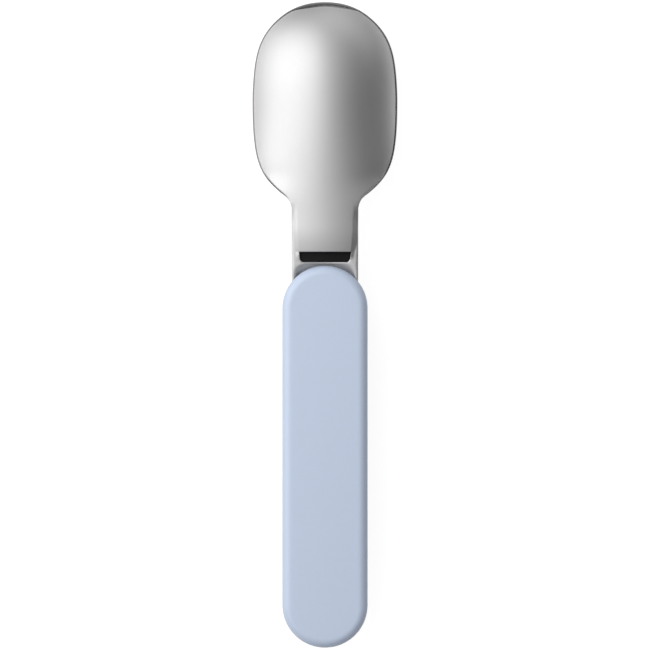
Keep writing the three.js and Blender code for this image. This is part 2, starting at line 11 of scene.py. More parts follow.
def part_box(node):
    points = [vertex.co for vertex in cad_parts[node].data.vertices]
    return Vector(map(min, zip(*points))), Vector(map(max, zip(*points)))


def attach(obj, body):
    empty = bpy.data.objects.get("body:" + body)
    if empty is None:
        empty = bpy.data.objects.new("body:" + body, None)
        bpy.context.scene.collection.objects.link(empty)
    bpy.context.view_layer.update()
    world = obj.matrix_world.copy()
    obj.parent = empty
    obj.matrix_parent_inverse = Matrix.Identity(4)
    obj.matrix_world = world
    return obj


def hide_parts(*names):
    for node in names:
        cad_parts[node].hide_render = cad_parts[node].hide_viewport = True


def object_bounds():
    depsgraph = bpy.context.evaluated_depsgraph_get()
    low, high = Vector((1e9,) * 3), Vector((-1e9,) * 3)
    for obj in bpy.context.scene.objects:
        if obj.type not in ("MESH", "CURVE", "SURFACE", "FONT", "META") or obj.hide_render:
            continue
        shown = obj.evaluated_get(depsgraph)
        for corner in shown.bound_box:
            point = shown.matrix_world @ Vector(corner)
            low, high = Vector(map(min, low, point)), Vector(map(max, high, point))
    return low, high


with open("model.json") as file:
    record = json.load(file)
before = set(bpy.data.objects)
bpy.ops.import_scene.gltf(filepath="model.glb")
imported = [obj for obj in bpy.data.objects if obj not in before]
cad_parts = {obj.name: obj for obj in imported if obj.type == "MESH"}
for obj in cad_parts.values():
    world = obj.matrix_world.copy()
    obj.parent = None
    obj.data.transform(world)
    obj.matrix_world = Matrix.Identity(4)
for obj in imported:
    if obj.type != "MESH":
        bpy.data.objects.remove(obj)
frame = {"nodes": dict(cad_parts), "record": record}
CAD_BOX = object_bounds()

bl_info = {
    "name": "Folding spoon",
    "version": (1, 0, 0),
    "blender": (4, 5, 0),
    "location": "View3D > Sidebar > Spoon",
    "description": "Dresses the packed folding spoon: pressed steel head, plastic handle, hinge and studio",
    "category": "Object",
}

MM = 0.001

# Places taken from the frame
HEAD_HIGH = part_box("spoon_head")[1]
BACK_LOW, BACK_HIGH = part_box("handle_back_cover")
FRONT_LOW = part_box("handle_front_cover")[0]
BLOCK_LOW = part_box("hinge_block")[0]
PIN_Y, PIN_Z = frame["record"]["behaviour"]["joints"][0]["pos_m"][1:]
TIP_Y = HEAD_HIGH.y
HANDLE_NEAR_Y = BACK_HIGH.y
HANDLE_FAR_Y = BACK_LOW.y
HANDLE_HALF = BACK_HIGH.x
HANDLE_TOP = BACK_HIGH.z

# How far a cut runs past what it cuts
PAST = 1.0 * MM

# Fineness of the pieces: counts of steps, and in degrees the angles that stay creased
TIP_STATIONS = 64
SHOULDER_STATIONS = 52
FILLET_STATIONS = 20
FLAT_COLUMNS = 48
BEND_COLUMNS = 24
FLAT_SHARE = 0.8
NECK_ROWS = (34, 10, 26, 12, 24)
RIM_BEVEL_STEPS = 4
SLOT_CORNER_STEPS = 8
EAR_STEPS = 96
HOLE_STEPS = 64
HANDLE_ARC_STEPS = 64
HANDLE_EDGE_STEPS = 14
SEAM_STEPS = 4
CREASE = 32.0
HEAD_CREASE = 38.0


def length(name, description, millimetres):
    """Length that a user can change, stored in metres"""
    return bpy.props.FloatProperty(
        name=name,
        description=description,
        default=millimetres * MM,
        precision=5,
        unit="LENGTH",
    )


def turn(name, description, degrees):
    """Angle that a user can change"""
    return bpy.props.FloatProperty(
        name=name,
        description=description,
        default=math.radians(degrees),
        subtype="ANGLE",
    )


def share(name, description, value):
    """Share between nothing and all"""
    return bpy.props.FloatProperty(
        name=name,
        description=description,
        default=value,
        min=0.0,
        max=1.0,
        subtype="FACTOR",
    )


def level(name, description, value):
    """Plain number with no unit"""
    return bpy.props.FloatProperty(name=name, description=description, default=value)


def colour(name, description, red, green, blue):
    """Linear colour"""
    return bpy.props.FloatVectorProperty(
        name=name,
        description=description,
        default=(red, green, blue),
        min=0.0,
        max=1.0,
        subtype="COLOR",
    )


class SpoonHeadSizes(bpy.types.PropertyGroup):
    """Sizes of the pressed head"""

    sheet: length("Sheet", "Thickness of the pressed sheet", 1.0)
    bowl_half: length("Bowl half width", "Half of the bowl's widest width", 18.8)
    tip_length: length("Tip length", "From the widest place of the bowl to its tip", 25.5)
    tip_fullness: length("Tip fullness", "Pull of the outline at the tip", 11.2)
    flank_bulge: length("Flank bulge", "How much fuller the outline is between tip and widest place", 0.45)
    side_up: length("Side pull up", "Pull of the outline from the widest place to the tip", 18.0)
    side_down: length("Side pull down", "Pull of the outline from the widest place to the neck", 16.0)
    neck_half: length("Neck half width", "Half of the neck's width", 8.6)
    neck_length: length("Neck length", "From the handle to the root of the bowl", 14.5)
    shoulder_out: length("Shoulder out", "How far the shoulder stands out from the neck", 2.6)
    shoulder_rise: length("Shoulder rise", "Length of the fillet between neck and bowl", 4.2)
    shoulder_slant: turn("Shoulder slant", "Slant of the outline at the shoulder", 40.0)
    shoulder_sweep: length("Shoulder sweep", "Pull of the outline at the shoulder", 7.5)
    fillet_entry: length("Fillet entry", "Pull of the fillet at the bowl", 2.2)
    fillet_exit: length("Fillet exit", "Pull of the fillet at the neck", 1.6)
    channel_blend: length("Channel blend", "Length over which the bowl turns into a channel", 11.0)
    squareness: level("Squareness", "How square the channel's bends are", 26.0)
    rim_turn: turn("Rim turn", "Turn of the bowl's section from its middle to its rim", 51.0)
    tip_share: share("Tip share", "How deep the bowl's tip is against its sides", 0.75)
    tip_power: level("Tip power", "How late the bowl's back bends down towards its tip", 2.6)
    crown: length("Neck crown", "Arch across the neck's plate", 0.95)
    plate_droop: length("Plate droop", "How far the neck's plate droops at the slot", 0.6)
    droop_run: length("Droop run", "Length over which the plate droops", 6.5)
    plate_half: length("Plate half width", "Half of the width of the neck's plate at its middle", 7.3)
    rail_rise: length("Rail rise", "How far the low rails beside the plate rise to the bowl", 0.5)
    rail_run: length("Rail run", "Length over which the rails narrow from the slot", 5.3)
    web_above_pin: length("Web above pin", "Height of the lower web over the pin", 3.6)
    web_dip: length("Web dip", "How far the lower web dips towards the handle", 0.7)
    dip_run: length("Dip run", "Distance from the handle at which the dip starts", 2.2)
    dip_loss: share("Dip loss", "How much shallower the dip is at the neck's sides", 0.75)
    neck_step: length("Neck step", "Height of the neck's plate over the lower web", 1.8)
    slot_setback: length("Slot setback", "From the handle's end to the slot", 1.0)
    slot_width: length("Slot width", "Width of the slot along the spoon", 2.6)
    slot_half: length("Slot half length", "Half of the slot's length at its far edge", 6.75)
    slot_near_half: length("Slot near half", "Half of the slot's length at its near edge", 6.35)
    slot_corner: length("Slot corner", "Radius of the slot's near corners", 0.8)
    slot_roll: length("Slot roll", "Radius of the slot's near edge", 0.4)
    slot_crisp: length("Slot crisp", "Radius of the slot's other edges", 0.06)
    web_tail: length("Web tail", "How far the web runs past the pin", 1.3)
    ear_radius: length("Ear radius", "Radius of the ears round the pin", 3.2)
    pin_hole: length("Pin hole", "Radius of the hole for the pin", 1.35)
    rim_tip: length("Rim bevel at tip", "Width of the ground bevel at the tip", 1.3)
    rim_side: length("Rim bevel at sides", "Width of the ground bevel at the sides", 0.46)
    rim_slope: turn("Rim slope", "Slope of the ground bevel", 40.0)
    rim_edge: length("Rim edge", "Height of the rim under its bevel", 0.42)
    rim_widening: length("Rim widening", "Distance from the tip at which the bevel starts to widen", 2.2)
    rim_start: length("Rim start", "Distance from the neck's root at which the bevel starts", 1.0)
    rim_full: length("Rim full", "Distance from the neck's root at which the bevel is whole", 4.6)
    side_edge: length("Side edge", "Height of the bowl's rim at its widest place", 2.0)
    tip_edge: length("Tip edge", "Height of the bowl's rim at its tip", 0.9)
    shoulder_drop: length("Shoulder drop", "How far the rim lies under the plate at the shoulder", 2.1)
    neck_drop: length("Neck drop", "How far the neck's edge lies under the plate", 4.0)
    web_drop: length("Web drop", "How far the neck's edge lies under the lower web", 5.0)


class SpoonHandleSizes(bpy.types.PropertyGroup):
    """Sizes of the handle's covers"""

    side_wall: length("Side wall", "Thickness of the covers' sides", 1.6)
    back_wall: length("Back wall", "Thickness of the back cover's face", 1.4)
    front_wall: length("Front wall", "Thickness of the front cover's face", 1.6)
    notch_past: length("Notch past block", "How far the front notch runs past the block", 2.6)
    back_round: length("Back round", "Radius of the back cover's edge", 2.4)
    edge_fullness: level("Edge fullness", "Back edge's form: 2 is a round, 1 is a chamfer", 2.2)
    front_round: length("Front round", "Radius of the front cover's edge", 1.6)
    seam_round: length("Seam round", "Radius of the covers' edges at the seam", 0.25)
    seam_gap: length("Seam gap", "Gap between the two covers", 0.3)
    lip_height: length("Lip height", "Height of the lip that locates the covers", 1.2)
    lip_thickness: length("Lip thickness", "Thickness of the lip", 0.8)
    lip_clearance: length("Lip clearance", "Gap between lip and back cover", 0.2)
    stop_setback: length("Stop setback", "From the handle's end to the start of the stop", 7.1)
    stop_clearance: length("Stop clearance", "Gap between the web and the stop over it", 0.3)


class SpoonFinishes(bpy.types.PropertyGroup):
    """Colours and finishes"""

    steel: colour("Steel", "Reflected colour of the head", 0.5, 0.5, 0.504)
    # Much darker than the head's steel: painted shade standing for the dark surroundings reflected along the
    # ground rim
    rim: colour("Rim", "Reflected colour of the ground rim", 0.2, 0.2, 0.202)
    steel_rough: share("Steel roughness", "Roughness of the satin head", 0.46)
    rim_rough: share("Rim roughness", "Roughness of the ground rim", 0.25)
    blue: colour("Blue plastic", "Colour of the covers", 0.511, 0.595, 0.752)
    blue_rough: share("Blue roughness", "Roughness of the covers", 0.48)
    # Near-black; where it fills the neck's slot it is also painted shade for the dark inside the slot
    black: colour("Black plastic", "Colour of block and insert", 0.005, 0.005, 0.0055)
    white: colour("White plastic", "Colour of the washers", 0.78, 0.78, 0.75)
    bright_steel: colour("Bright steel", "Colour of pin, leaf and screws", 0.5, 0.51, 0.53)


class SpoonStageSizes(bpy.types.PropertyGroup):
    """Camera, floor and light"""

    camera_height: length("Camera height", "Height of the camera over the spoon", 1200.0)
    frame_width: length("Frame width", "Width that the picture shows", 168.2)
    frame_middle: length("Frame middle", "Place along the spoon in the picture's middle", -0.19)
    focus_height: length("Focus height", "Height at which the frame width is measured", 6.0)
    sensor: level("Sensor", "Width of the sensor in millimetres", 36.0)
    floor_half: length("Floor half width", "Half of the floor's width", 4000.0)
    floor_drop: length("Floor drop", "Room under the handle for the folded head", 10.5)
    floor_tone: share("Floor tone", "Share of the light that the floor scatters", 0.35)
    floor_glow: level("Floor glow", "Light of the floor as it is seen, which makes it white", 0.84)
    key_power: level("Key power", "Power of the large lamp on the left", 7.0)
    key_wide: length("Key width", "Width of the large lamp from low to high", 1400.0)
    key_long: length("Key length", "Length of the large lamp along the spoon", 870.0)
    key_shift: length("Key shift", "How far the large lamp stands towards the tip", 370.0)
    key_distance: length("Key distance", "Distance of the large lamp", 800.0)
    key_lean: turn("Key lean", "Angle of the large lamp from upright", 47.0)
    key_roll: turn("Key roll", "Turn of the large lamp about its own axis", 6.0)
    far_power: level("Far power", "Power of the strip lamp beyond the tip", 1.15)
    far_wide: length("Far width", "Width of the strip lamp from low to high", 350.0)
    far_long: length("Far length", "Length of the strip lamp", 1300.0)
    far_place: bpy.props.FloatVectorProperty(
        name="Far place",
        description="Middle of the strip lamp beyond the tip",
        default=(0.45, 0.8, 0.42),
        subtype="TRANSLATION",
    )
    room_low: level("Room low down", "Brightness of the room at the horizon", 0.1)
    room_high: level("Room overhead", "Brightness of the room high up", 0.97)
    room_right: share("Right side", "Share of that brightness on the room's right near side", 0.23)
    room_far: share("Far side", "Share of that brightness beyond the tip", 0.66)
    room_near: share("Near side", "Share of that brightness beyond the handle", 0.65)


# Shared arithmetic


def mix(a, b, part):
    return a + (b - a) * part


def clamp(value):
    return min(max(value, 0.0), 1.0)


def smooth(value, low, high):
    """Smooth step from 0 at the first place to 1 at the second"""
    part = clamp((value - low) / (high - low))
    return part * part * (3.0 - 2.0 * part)


def smoother(value, low, high):
    """Smooth step whose ends are also smooth in their curvature"""
    part = clamp((value - low) / (high - low))
    return part**3 * (part * (6.0 * part - 15.0) + 10.0)


def eased_ramp(part):
    """Straight ramp from 0 to 1 with rounded ends"""
    ease = 0.2
    part = clamp(part)
    slope = 1.0 / (1.0 - ease)
    if part < ease:
        return slope * part * part / (2.0 * ease)
    if part > 1.0 - ease:
        return 1.0 - slope * (1.0 - part) ** 2 / (2.0 * ease)
    return slope * (part - ease / 2.0)


def bezier(points, part):
    a, b, c, d = points
    rest = 1.0 - part
    return (
        a * rest**3
        + b * (3.0 * rest**2 * part)
        + c * (3.0 * rest * part**2)
        + d * part**3
    )


def spread(start, end, count):
    """Even steps that leave out the start"""
    return [mix(start, end, (k + 1) / count) for k in range(count)]


# Mesh helpers


def new_object(name, mesh):
    piece = bpy.data.objects.new(name, mesh)
    bpy.context.scene.collection.objects.link(piece)
    return piece


def mesh_object(name, vertices, faces):
    mesh = bpy.data.meshes.new(name)
    mesh.from_pydata(vertices, [], faces)
    mesh.validate()
    mesh.update()
    return new_object(name, mesh)


def weld(piece, distance=1e-7):
    """Merge shared vertices and turn all faces outwards"""
    work = bmesh.new()
    work.from_mesh(piece.data)
    bmesh.ops.remove_doubles(work, verts=work.verts, dist=distance)
    bmesh.ops.recalc_face_normals(work, faces=work.faces)
    work.to_mesh(piece.data)
    work.free()


def shade(piece, degrees):
    """Smooth shading with creases over an angle"""
    for face in piece.data.polygons:
        face.use_smooth = True
    piece.data.set_sharp_from_angle(angle=math.radians(degrees))


def apply_modifiers(piece):
    graph = bpy.context.evaluated_depsgraph_get()
    made = bpy.data.meshes.new_from_object(piece.evaluated_get(graph))
    old = piece.data
    piece.modifiers.clear()
    piece.data = made
    bpy.data.meshes.remove(old)


def combine(piece, other, operation):
    """Join a piece with another or cut it, and use the other up"""
    modifier = piece.modifiers.new(operation.lower(), "BOOLEAN")
    modifier.operation = operation
    modifier.object = other
    modifier.solver = "MANIFOLD"
    apply_modifiers(piece)
    mesh = other.data
    bpy.data.objects.remove(other)
    bpy.data.meshes.remove(mesh)
    if not piece.data.polygons:
        raise RuntimeError(f"{piece.name} has no faces left")


def soften_cut_edges(piece, width):
    """Small bevel along the sharp edges of a piece, once its flat faces are merged"""
    flat = math.radians(0.5)
    sharp = math.radians(50.0)
    work = bmesh.new()
    work.from_mesh(piece.data)
    bmesh.ops.dissolve_limit(work, angle_limit=flat, verts=work.verts, edges=work.edges)
    work.to_mesh(piece.data)
    work.free()
    modifier = piece.modifiers.new("soft_edges", "BEVEL")
    modifier.width = width
    modifier.segments = 3
    modifier.limit_method = "ANGLE"
    modifier.angle_limit = sharp
    modifier.use_clamp_overlap = True
    apply_modifiers(piece)


def box_object(name, low, high):
    corners = [
        (x, y, z) for x in (low[0], high[0]) for y in (low[1], high[1]) for z in (low[2], high[2])
    ]
    faces = [(0, 1, 3, 2), (4, 6, 7, 5), (0, 4, 5, 1), (2, 3, 7, 6), (0, 2, 6, 4), (1, 5, 7, 3)]
    piece = mesh_object(name, corners, faces)
    weld(piece)
    return piece


def stack_object(name, rings):
    """Closed body from a stack of like rings"""
    count = len(rings[0])
    vertices = [point for ring in rings for point in ring]
    faces = []
    for low in range(len(rings) - 1):
        for k in range(count):
            after = (k + 1) % count
            start = low * count
            faces.append((start + k, start + after, start + count + after, start + count + k))
    faces.append(tuple(reversed(range(count))))
    faces.append(tuple(range((len(rings) - 1) * count, len(rings) * count)))
    piece = mesh_object(name, vertices, faces)
    weld(piece)
    return piece


def cross_ring(radius, x, count):
    """Ring of points round the pin's axis"""
    points = []
    for k in range(count):
        angle = 2.0 * math.pi * k / count
        points.append((x, PIN_Y + radius * math.cos(angle), PIN_Z + radius * math.sin(angle)))
    return points


def settle(piece, node, body, slot, *materials):
    """Give a piece its finish and its body, and hide the node that it stands for"""
    piece.data.materials.clear()
    for material in materials:
        piece.data.materials.append(material)
    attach(piece, body)
    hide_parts(node)


# Shader groups


def new_group(name, inputs, outputs):
    """Node group with named sockets: inputs with their defaults, and outputs"""
    group = bpy.data.node_groups.new(name, "ShaderNodeTree")
    for label, default in inputs:
        socket = group.interface.new_socket(label, in_out="INPUT", socket_type="NodeSocketFloat")
        socket.default_value = default
    for label in outputs:
        group.interface.new_socket(label, in_out="OUTPUT", socket_type="NodeSocketFloat")
    return group


def add_node(tree, kind, **settings):
    node = tree.nodes.new(kind)
    for label, value in settings.items():
        setattr(node, label, value)
    return node


def wire(tree, *ways):
    """Link nodes; each way names a node, its output, another node and its input"""
    for source, output, target, label in ways:
        tree.links.new(source.outputs[output], target.inputs[label])


def grain_group():
    """Two noises of different size, for bump, roughness and tone"""
    name = "surface_grain"
    if name in bpy.data.node_groups:
        return bpy.data.node_groups[name]
    group = new_group(name, [("Fine scale", 6000.0), ("Broad scale", 300.0)], ["Fine", "Broad"])
    source = add_node(group, "NodeGroupInput")
    result = add_node(group, "NodeGroupOutput")
    place = add_node(group, "ShaderNodeTexCoord")
    for label, detail in (("Fine", 3.0), ("Broad", 5.0)):
        noise = add_node(group, "ShaderNodeTexNoise")
        noise.inputs["Detail"].default_value = detail
        wire(
            group,
            (place, "Object", noise, "Vector"),
            (source, f"{label} scale", noise, "Scale"),
            (noise, "Fac", result, label),
        )
    return group


def wear_and_highlight_group():
    """Mask of the raised edges, broken up by noise, that lightens them: wear that hands polish, and painted
    highlight along rounded edges
    """
    name = "edge_wear"
    if name in bpy.data.node_groups:
        return bpy.data.node_groups[name]
    group = new_group(name, [("Start", 0.52), ("Full", 0.6), ("Breakup scale", 500.0)], ["Wear"])
    source = add_node(group, "NodeGroupInput")
    result = add_node(group, "NodeGroupOutput")
    place = add_node(group, "ShaderNodeTexCoord")
    form = add_node(group, "ShaderNodeNewGeometry")
    raised = add_node(group, "ShaderNodeMapRange")
    noise = add_node(group, "ShaderNodeTexNoise")
    product = add_node(group, "ShaderNodeMath", operation="MULTIPLY")
    wire(
        group,
        (form, "Pointiness", raised, "Value"),
        (source, "Start", raised, "From Min"),
        (source, "Full", raised, "From Max"),
        (place, "Object", noise, "Vector"),
        (source, "Breakup scale", noise, "Scale"),
        (raised, "Result", product, 0),
        (noise, "Fac", product, 1),
        (product, "Value", result, "Wear"),
    )
    return group


# Finishes


def scaled(tint, factor):
    return tuple(min(value * factor, 1.0) for value in tint) + (1.0,)


def colour_socket(sockets, label):
    """Colour socket of a mix node, which has sockets of other kinds under the same label"""
    return next(socket for socket in sockets if socket.name == label and socket.type == "RGBA")


def finish_material(name, tint, rough, metallic, grain, contrast, bump, wear_and_highlight, gloss_level=0.5):
    """Principled finish with grain in its colour, roughness and bump, and raised edges lightened as wear and
    as painted highlight
    """
    if name in bpy.data.materials:
        return bpy.data.materials[name]
    material = bpy.data.materials.new(name)
    material.use_nodes = True
    tree = material.node_tree
    shader = tree.nodes["Principled BSDF"]
    shader.inputs["Metallic"].default_value = metallic
    shader.inputs["Specular IOR Level"].default_value = gloss_level
    texture = add_node(tree, "ShaderNodeGroup", node_tree=grain_group())
    texture.inputs["Fine scale"].default_value = grain[0]
    texture.inputs["Broad scale"].default_value = grain[1]
    tone = add_node(tree, "ShaderNodeMix", data_type="RGBA")
    colour_socket(tone.inputs, "A").default_value = scaled(tint, 1.0 - contrast)
    colour_socket(tone.inputs, "B").default_value = scaled(tint, 1.0 + contrast)
    edges = add_node(tree, "ShaderNodeGroup", node_tree=wear_and_highlight_group())
    # Raised edges take a lighter colour: wear, and a painted highlight on rounded edges
    worn_and_lit = add_node(tree, "ShaderNodeMix", data_type="RGBA")
    colour_socket(worn_and_lit.inputs, "B").default_value = scaled(tint, 1.0 + wear_and_highlight)
    swing = 0.1
    gloss = add_node(tree, "ShaderNodeMapRange")
    gloss.inputs["From Min"].default_value = 0.3
    gloss.inputs["From Max"].default_value = 0.7
    gloss.inputs["To Min"].default_value = rough * (1.0 - swing)
    gloss.inputs["To Max"].default_value = clamp(rough * (1.0 + swing))
    relief = add_node(tree, "ShaderNodeBump")
    relief.inputs["Strength"].default_value = bump[0]
    relief.inputs["Distance"].default_value = bump[1]
    tree.links.new(colour_socket(tone.outputs, "Result"), colour_socket(worn_and_lit.inputs, "A"))
    tree.links.new(colour_socket(worn_and_lit.outputs, "Result"), shader.inputs["Base Color"])
    wire(
        tree,
        (texture, "Broad", tone, "Factor"),
        (edges, "Wear", worn_and_lit, "Factor"),
        (texture, "Broad", gloss, "Value"),
        (gloss, "Result", shader, "Roughness"),
        (texture, "Fine", relief, "Height"),
        (relief, "Normal", shader, "Normal"),
    )
    return material


def satin_steel(finishes):
    return finish_material(
        "satin_steel", finishes.steel, finishes.steel_rough, 1.0,
        grain=(9000.0, 2600.0), contrast=0.02, bump=(0.05, 0.02 * MM), wear_and_highlight=0.0,
    )


# Steel of the ground rim; its darker colour is painted shade for the dark reflection along the rim
def ground_steel(finishes):
    return finish_material(
        "ground_steel", finishes.rim, finishes.rim_rough, 1.0,
        grain=(5000.0, 1500.0), contrast=0.04, bump=(0.05, 0.02 * MM), wear_and_highlight=0.0,
    )


def bright_steel(finishes):
    return finish_material(
        "bright_steel", finishes.bright_steel, 0.28, 1.0,
        grain=(7000.0, 700.0), contrast=0.06, bump=(0.06, 0.02 * MM), wear_and_highlight=0.2,
    )


def blue_plastic(finishes):
    # On the covers the lighter raised edges are wear and a painted highlight along their rounded edges
    return finish_material(
        "pale_blue_moulded", finishes.blue, finishes.blue_rough, 0.0,
        grain=(3500.0, 900.0), contrast=0.02, bump=(0.12, 0.06 * MM), wear_and_highlight=0.1, gloss_level=1.0,
    )


def black_plastic(finishes):
    return finish_material(
        "black_moulded", finishes.black, 0.6, 0.0,
        grain=(4500.0, 500.0), contrast=0.2, bump=(0.15, 0.05 * MM), wear_and_highlight=0.8, gloss_level=0.15,
    )


def white_plastic(finishes):
    return finish_material(
        "white_moulded", finishes.white, 0.45, 0.0,
        grain=(4500.0, 500.0), contrast=0.03, bump=(0.1, 0.04 * MM), wear_and_highlight=0.05,
    )


# Pressed head


class HeadForm:
    """Shape of the pressed sheet: its outline in plan and the height of its back"""

    def __init__(self, sizes):
        self.sizes = sizes
        self.widest_y = TIP_Y - sizes.tip_length
        self.root_y = HANDLE_NEAR_Y + sizes.neck_length
        self.slot_near_y = HANDLE_NEAR_Y + sizes.slot_setback
        self.slot_far_y = self.slot_near_y + sizes.slot_width
        self.end_y = PIN_Y - sizes.web_tail
        self.web_z = PIN_Z + sizes.web_above_pin
        self.plate_z = self.web_z + sizes.neck_step
        self.bowl_z = HEAD_HIGH.z
        ear_z = PIN_Z - sizes.ear_radius
        neck_middle = mix(self.slot_far_y, self.root_y, 0.5)
        shoulder_y = self.root_y + sizes.shoulder_rise * 0.5
        # Place along the spoon, height and slope of the sheet's lower edge
        self.edge_places = [
            (self.end_y - PAST, ear_z, 0.0),
            (PIN_Y + sizes.ear_radius, ear_z, 0.0),
            (self.slot_near_y, self.web_z - sizes.web_drop, 0.22),
            (neck_middle, self.plate_z - sizes.neck_drop, 0.2),
            (shoulder_y, self.plate_z - sizes.shoulder_drop, -0.5),
            (self.widest_y, sizes.side_edge, 0.0),
            (TIP_Y, sizes.tip_edge, 0.0),
        ]

    def edge_height(self, y):
        """Height of the sheet's lower edge"""
        places = self.edge_places
        k = 0
        while k < len(places) - 2 and y > places[k + 1][0]:
            k += 1
        y0, z0, slope0 = places[k]
        y1, z1, slope1 = places[k + 1]
        span = y1 - y0
        part = (y - y0) / span
        rest = 1.0 - part
        ease = part * part * (3.0 - 2.0 * part)
        leave = part * rest * rest * span * slope0
        arrive = -part * part * rest * span * slope1
        return z0 + (z1 - z0) * ease + leave + arrive

    def middle_height(self, y):
        """Height of the back along its middle, from the plate's end to the bowl"""
        sizes = self.sizes
        reach = clamp((self.slot_far_y + sizes.droop_run - y) / sizes.droop_run)
        bowl = smooth(y, self.slot_far_y, self.widest_y)
        return self.plate_z - sizes.plate_droop * reach**2 + (self.bowl_z - self.plate_z) * bowl

    def tip_height(self, x, y):
        """Height of the bowl's back between its widest place and its tip"""
        sizes = self.sizes
        widest = Station(self, Vector((0.0, self.widest_y)), Vector((sizes.bowl_half, self.widest_y)))
        aside = abs(x) / (widest.width - widest.band)
        along = max(y - self.widest_y, 0.0) / (sizes.tip_length - sizes.rim_tip)
        away = math.sqrt(aside * aside + sizes.tip_share * along**sizes.tip_power)
        return self.bowl_z - (self.bowl_z - widest.edge_z) * widest.fall(away)

    def neck_offset(self, x, y):
        """Height of the neck over its middle line: an arched plate between low rails, and the low web"""
        sizes = self.sizes
        aside = abs(x)
        low = self.web_height(aside, y) - self.middle_height(y)
        arch = -sizes.crown * (x / sizes.neck_half) ** 2
        plate_start = self.slot_near_y + 0.3 * MM
        plate = smooth(y, plate_start, self.slot_far_y) * (1.0 - self.rail_slope(aside, y))
        return mix(low, arch, plate)

    def web_height(self, aside, y):
        """Height of the low web and rails, with a dip that follows the handle's round end"""
        sizes = self.sizes
        rail_end = HANDLE_NEAR_Y - 3.0 * MM
        rise = clamp((y - rail_end) / (self.root_y - rail_end))
        clear = math.hypot(aside, y - HANDLE_NEAR_Y + HANDLE_HALF) - HANDLE_HALF
        under_handle = -0.3 * MM
        hidden_y = PIN_Y + 3.0 * MM
        shown_y = PIN_Y + 6.0 * MM
        dip = smooth(clear, sizes.dip_run, under_handle) * smooth(y, hidden_y, shown_y)
        side = sizes.neck_half - 0.2 * MM
        dip *= 1.0 - sizes.dip_loss * smooth(aside, sizes.slot_near_half, side)
        return self.web_z + sizes.rail_rise * rise - sizes.web_dip * dip

    def rail_slope(self, aside, y):
        """Share of the way down from the plate to the rails, which narrow away from the slot"""
        sizes = self.sizes
        reach = clamp((y - self.slot_far_y) / sizes.rail_run)
        slot_end = sizes.slot_half - 0.2 * MM
        slot_foot = sizes.slot_half + 0.9 * MM
        neck_foot = sizes.neck_half + 0.15 * MM
        inner = mix(slot_end, sizes.plate_half, reach)
        outer = mix(slot_foot, neck_foot, reach * (2.0 - reach))
        rails_end = self.root_y - 3.2 * MM
        bowl_start = self.root_y + 2.0 * MM
        ending = 1.0 - smooth(y, rails_end, bowl_start)
        return eased_ramp((aside - inner) / (outer - inner)) * ending

    def outline(self):
        """Rays in plan from the sheet's middle to its edge, from the tip to the end of the web"""
        sizes = self.sizes
        widest = Vector((sizes.bowl_half, self.widest_y))
        lean = Vector((math.cos(sizes.shoulder_slant), math.sin(sizes.shoulder_slant)))
        shoulder_x = sizes.neck_half + sizes.shoulder_out
        shoulder_end = Vector((shoulder_x, self.root_y + sizes.shoulder_rise))
        tip = [
            Vector((0.0, TIP_Y)),
            Vector((sizes.tip_fullness, TIP_Y)),
            widest + Vector((0.0, sizes.side_up)),
            widest,
        ]
        shoulder = [
            widest,
            widest - Vector((0.0, sizes.side_down)),
            shoulder_end + lean * sizes.shoulder_sweep,
            shoulder_end,
        ]
        fillet = [
            shoulder_end,
            shoulder_end - lean * sizes.fillet_entry,
            Vector((sizes.neck_half, self.root_y + sizes.fillet_exit)),
            Vector((sizes.neck_half, self.root_y)),
        ]
        centre = Vector((0.0, self.widest_y))
        bulge_start = 0.35
        bulge_run = 0.6
        rays = []
        for k in range(TIP_STATIONS + 1):
            part = k / TIP_STATIONS
            bulge = math.sin(math.pi * clamp((part - bulge_start) / bulge_run)) ** 2
            rays.append((centre, bezier(tip, part) + Vector((sizes.flank_bulge * bulge, 0.0))))
        for curve, count in ((shoulder, SHOULDER_STATIONS), (fillet, FILLET_STATIONS)):
            for part in spread(0.0, 1.0, count):
                edge = bezier(curve, part)
                rays.append((Vector((0.0, edge.y)), edge))
        for y in self.neck_rows():
            rays.append((Vector((0.0, y)), Vector((sizes.neck_half, y))))
        return [Station(self, middle, edge) for middle, edge in rays]

    def neck_rows(self):
        """Places along the neck, closest together at the slot"""
        beyond = self.slot_far_y + 0.8 * MM
        before = self.slot_near_y - 0.9 * MM
        stops = (self.root_y, beyond, self.slot_far_y, self.slot_near_y, before, self.end_y)
        rows = []
        for start, end, count in zip(stops, stops[1:], NECK_ROWS):
            rows += spread(start, end, count)
        return rows


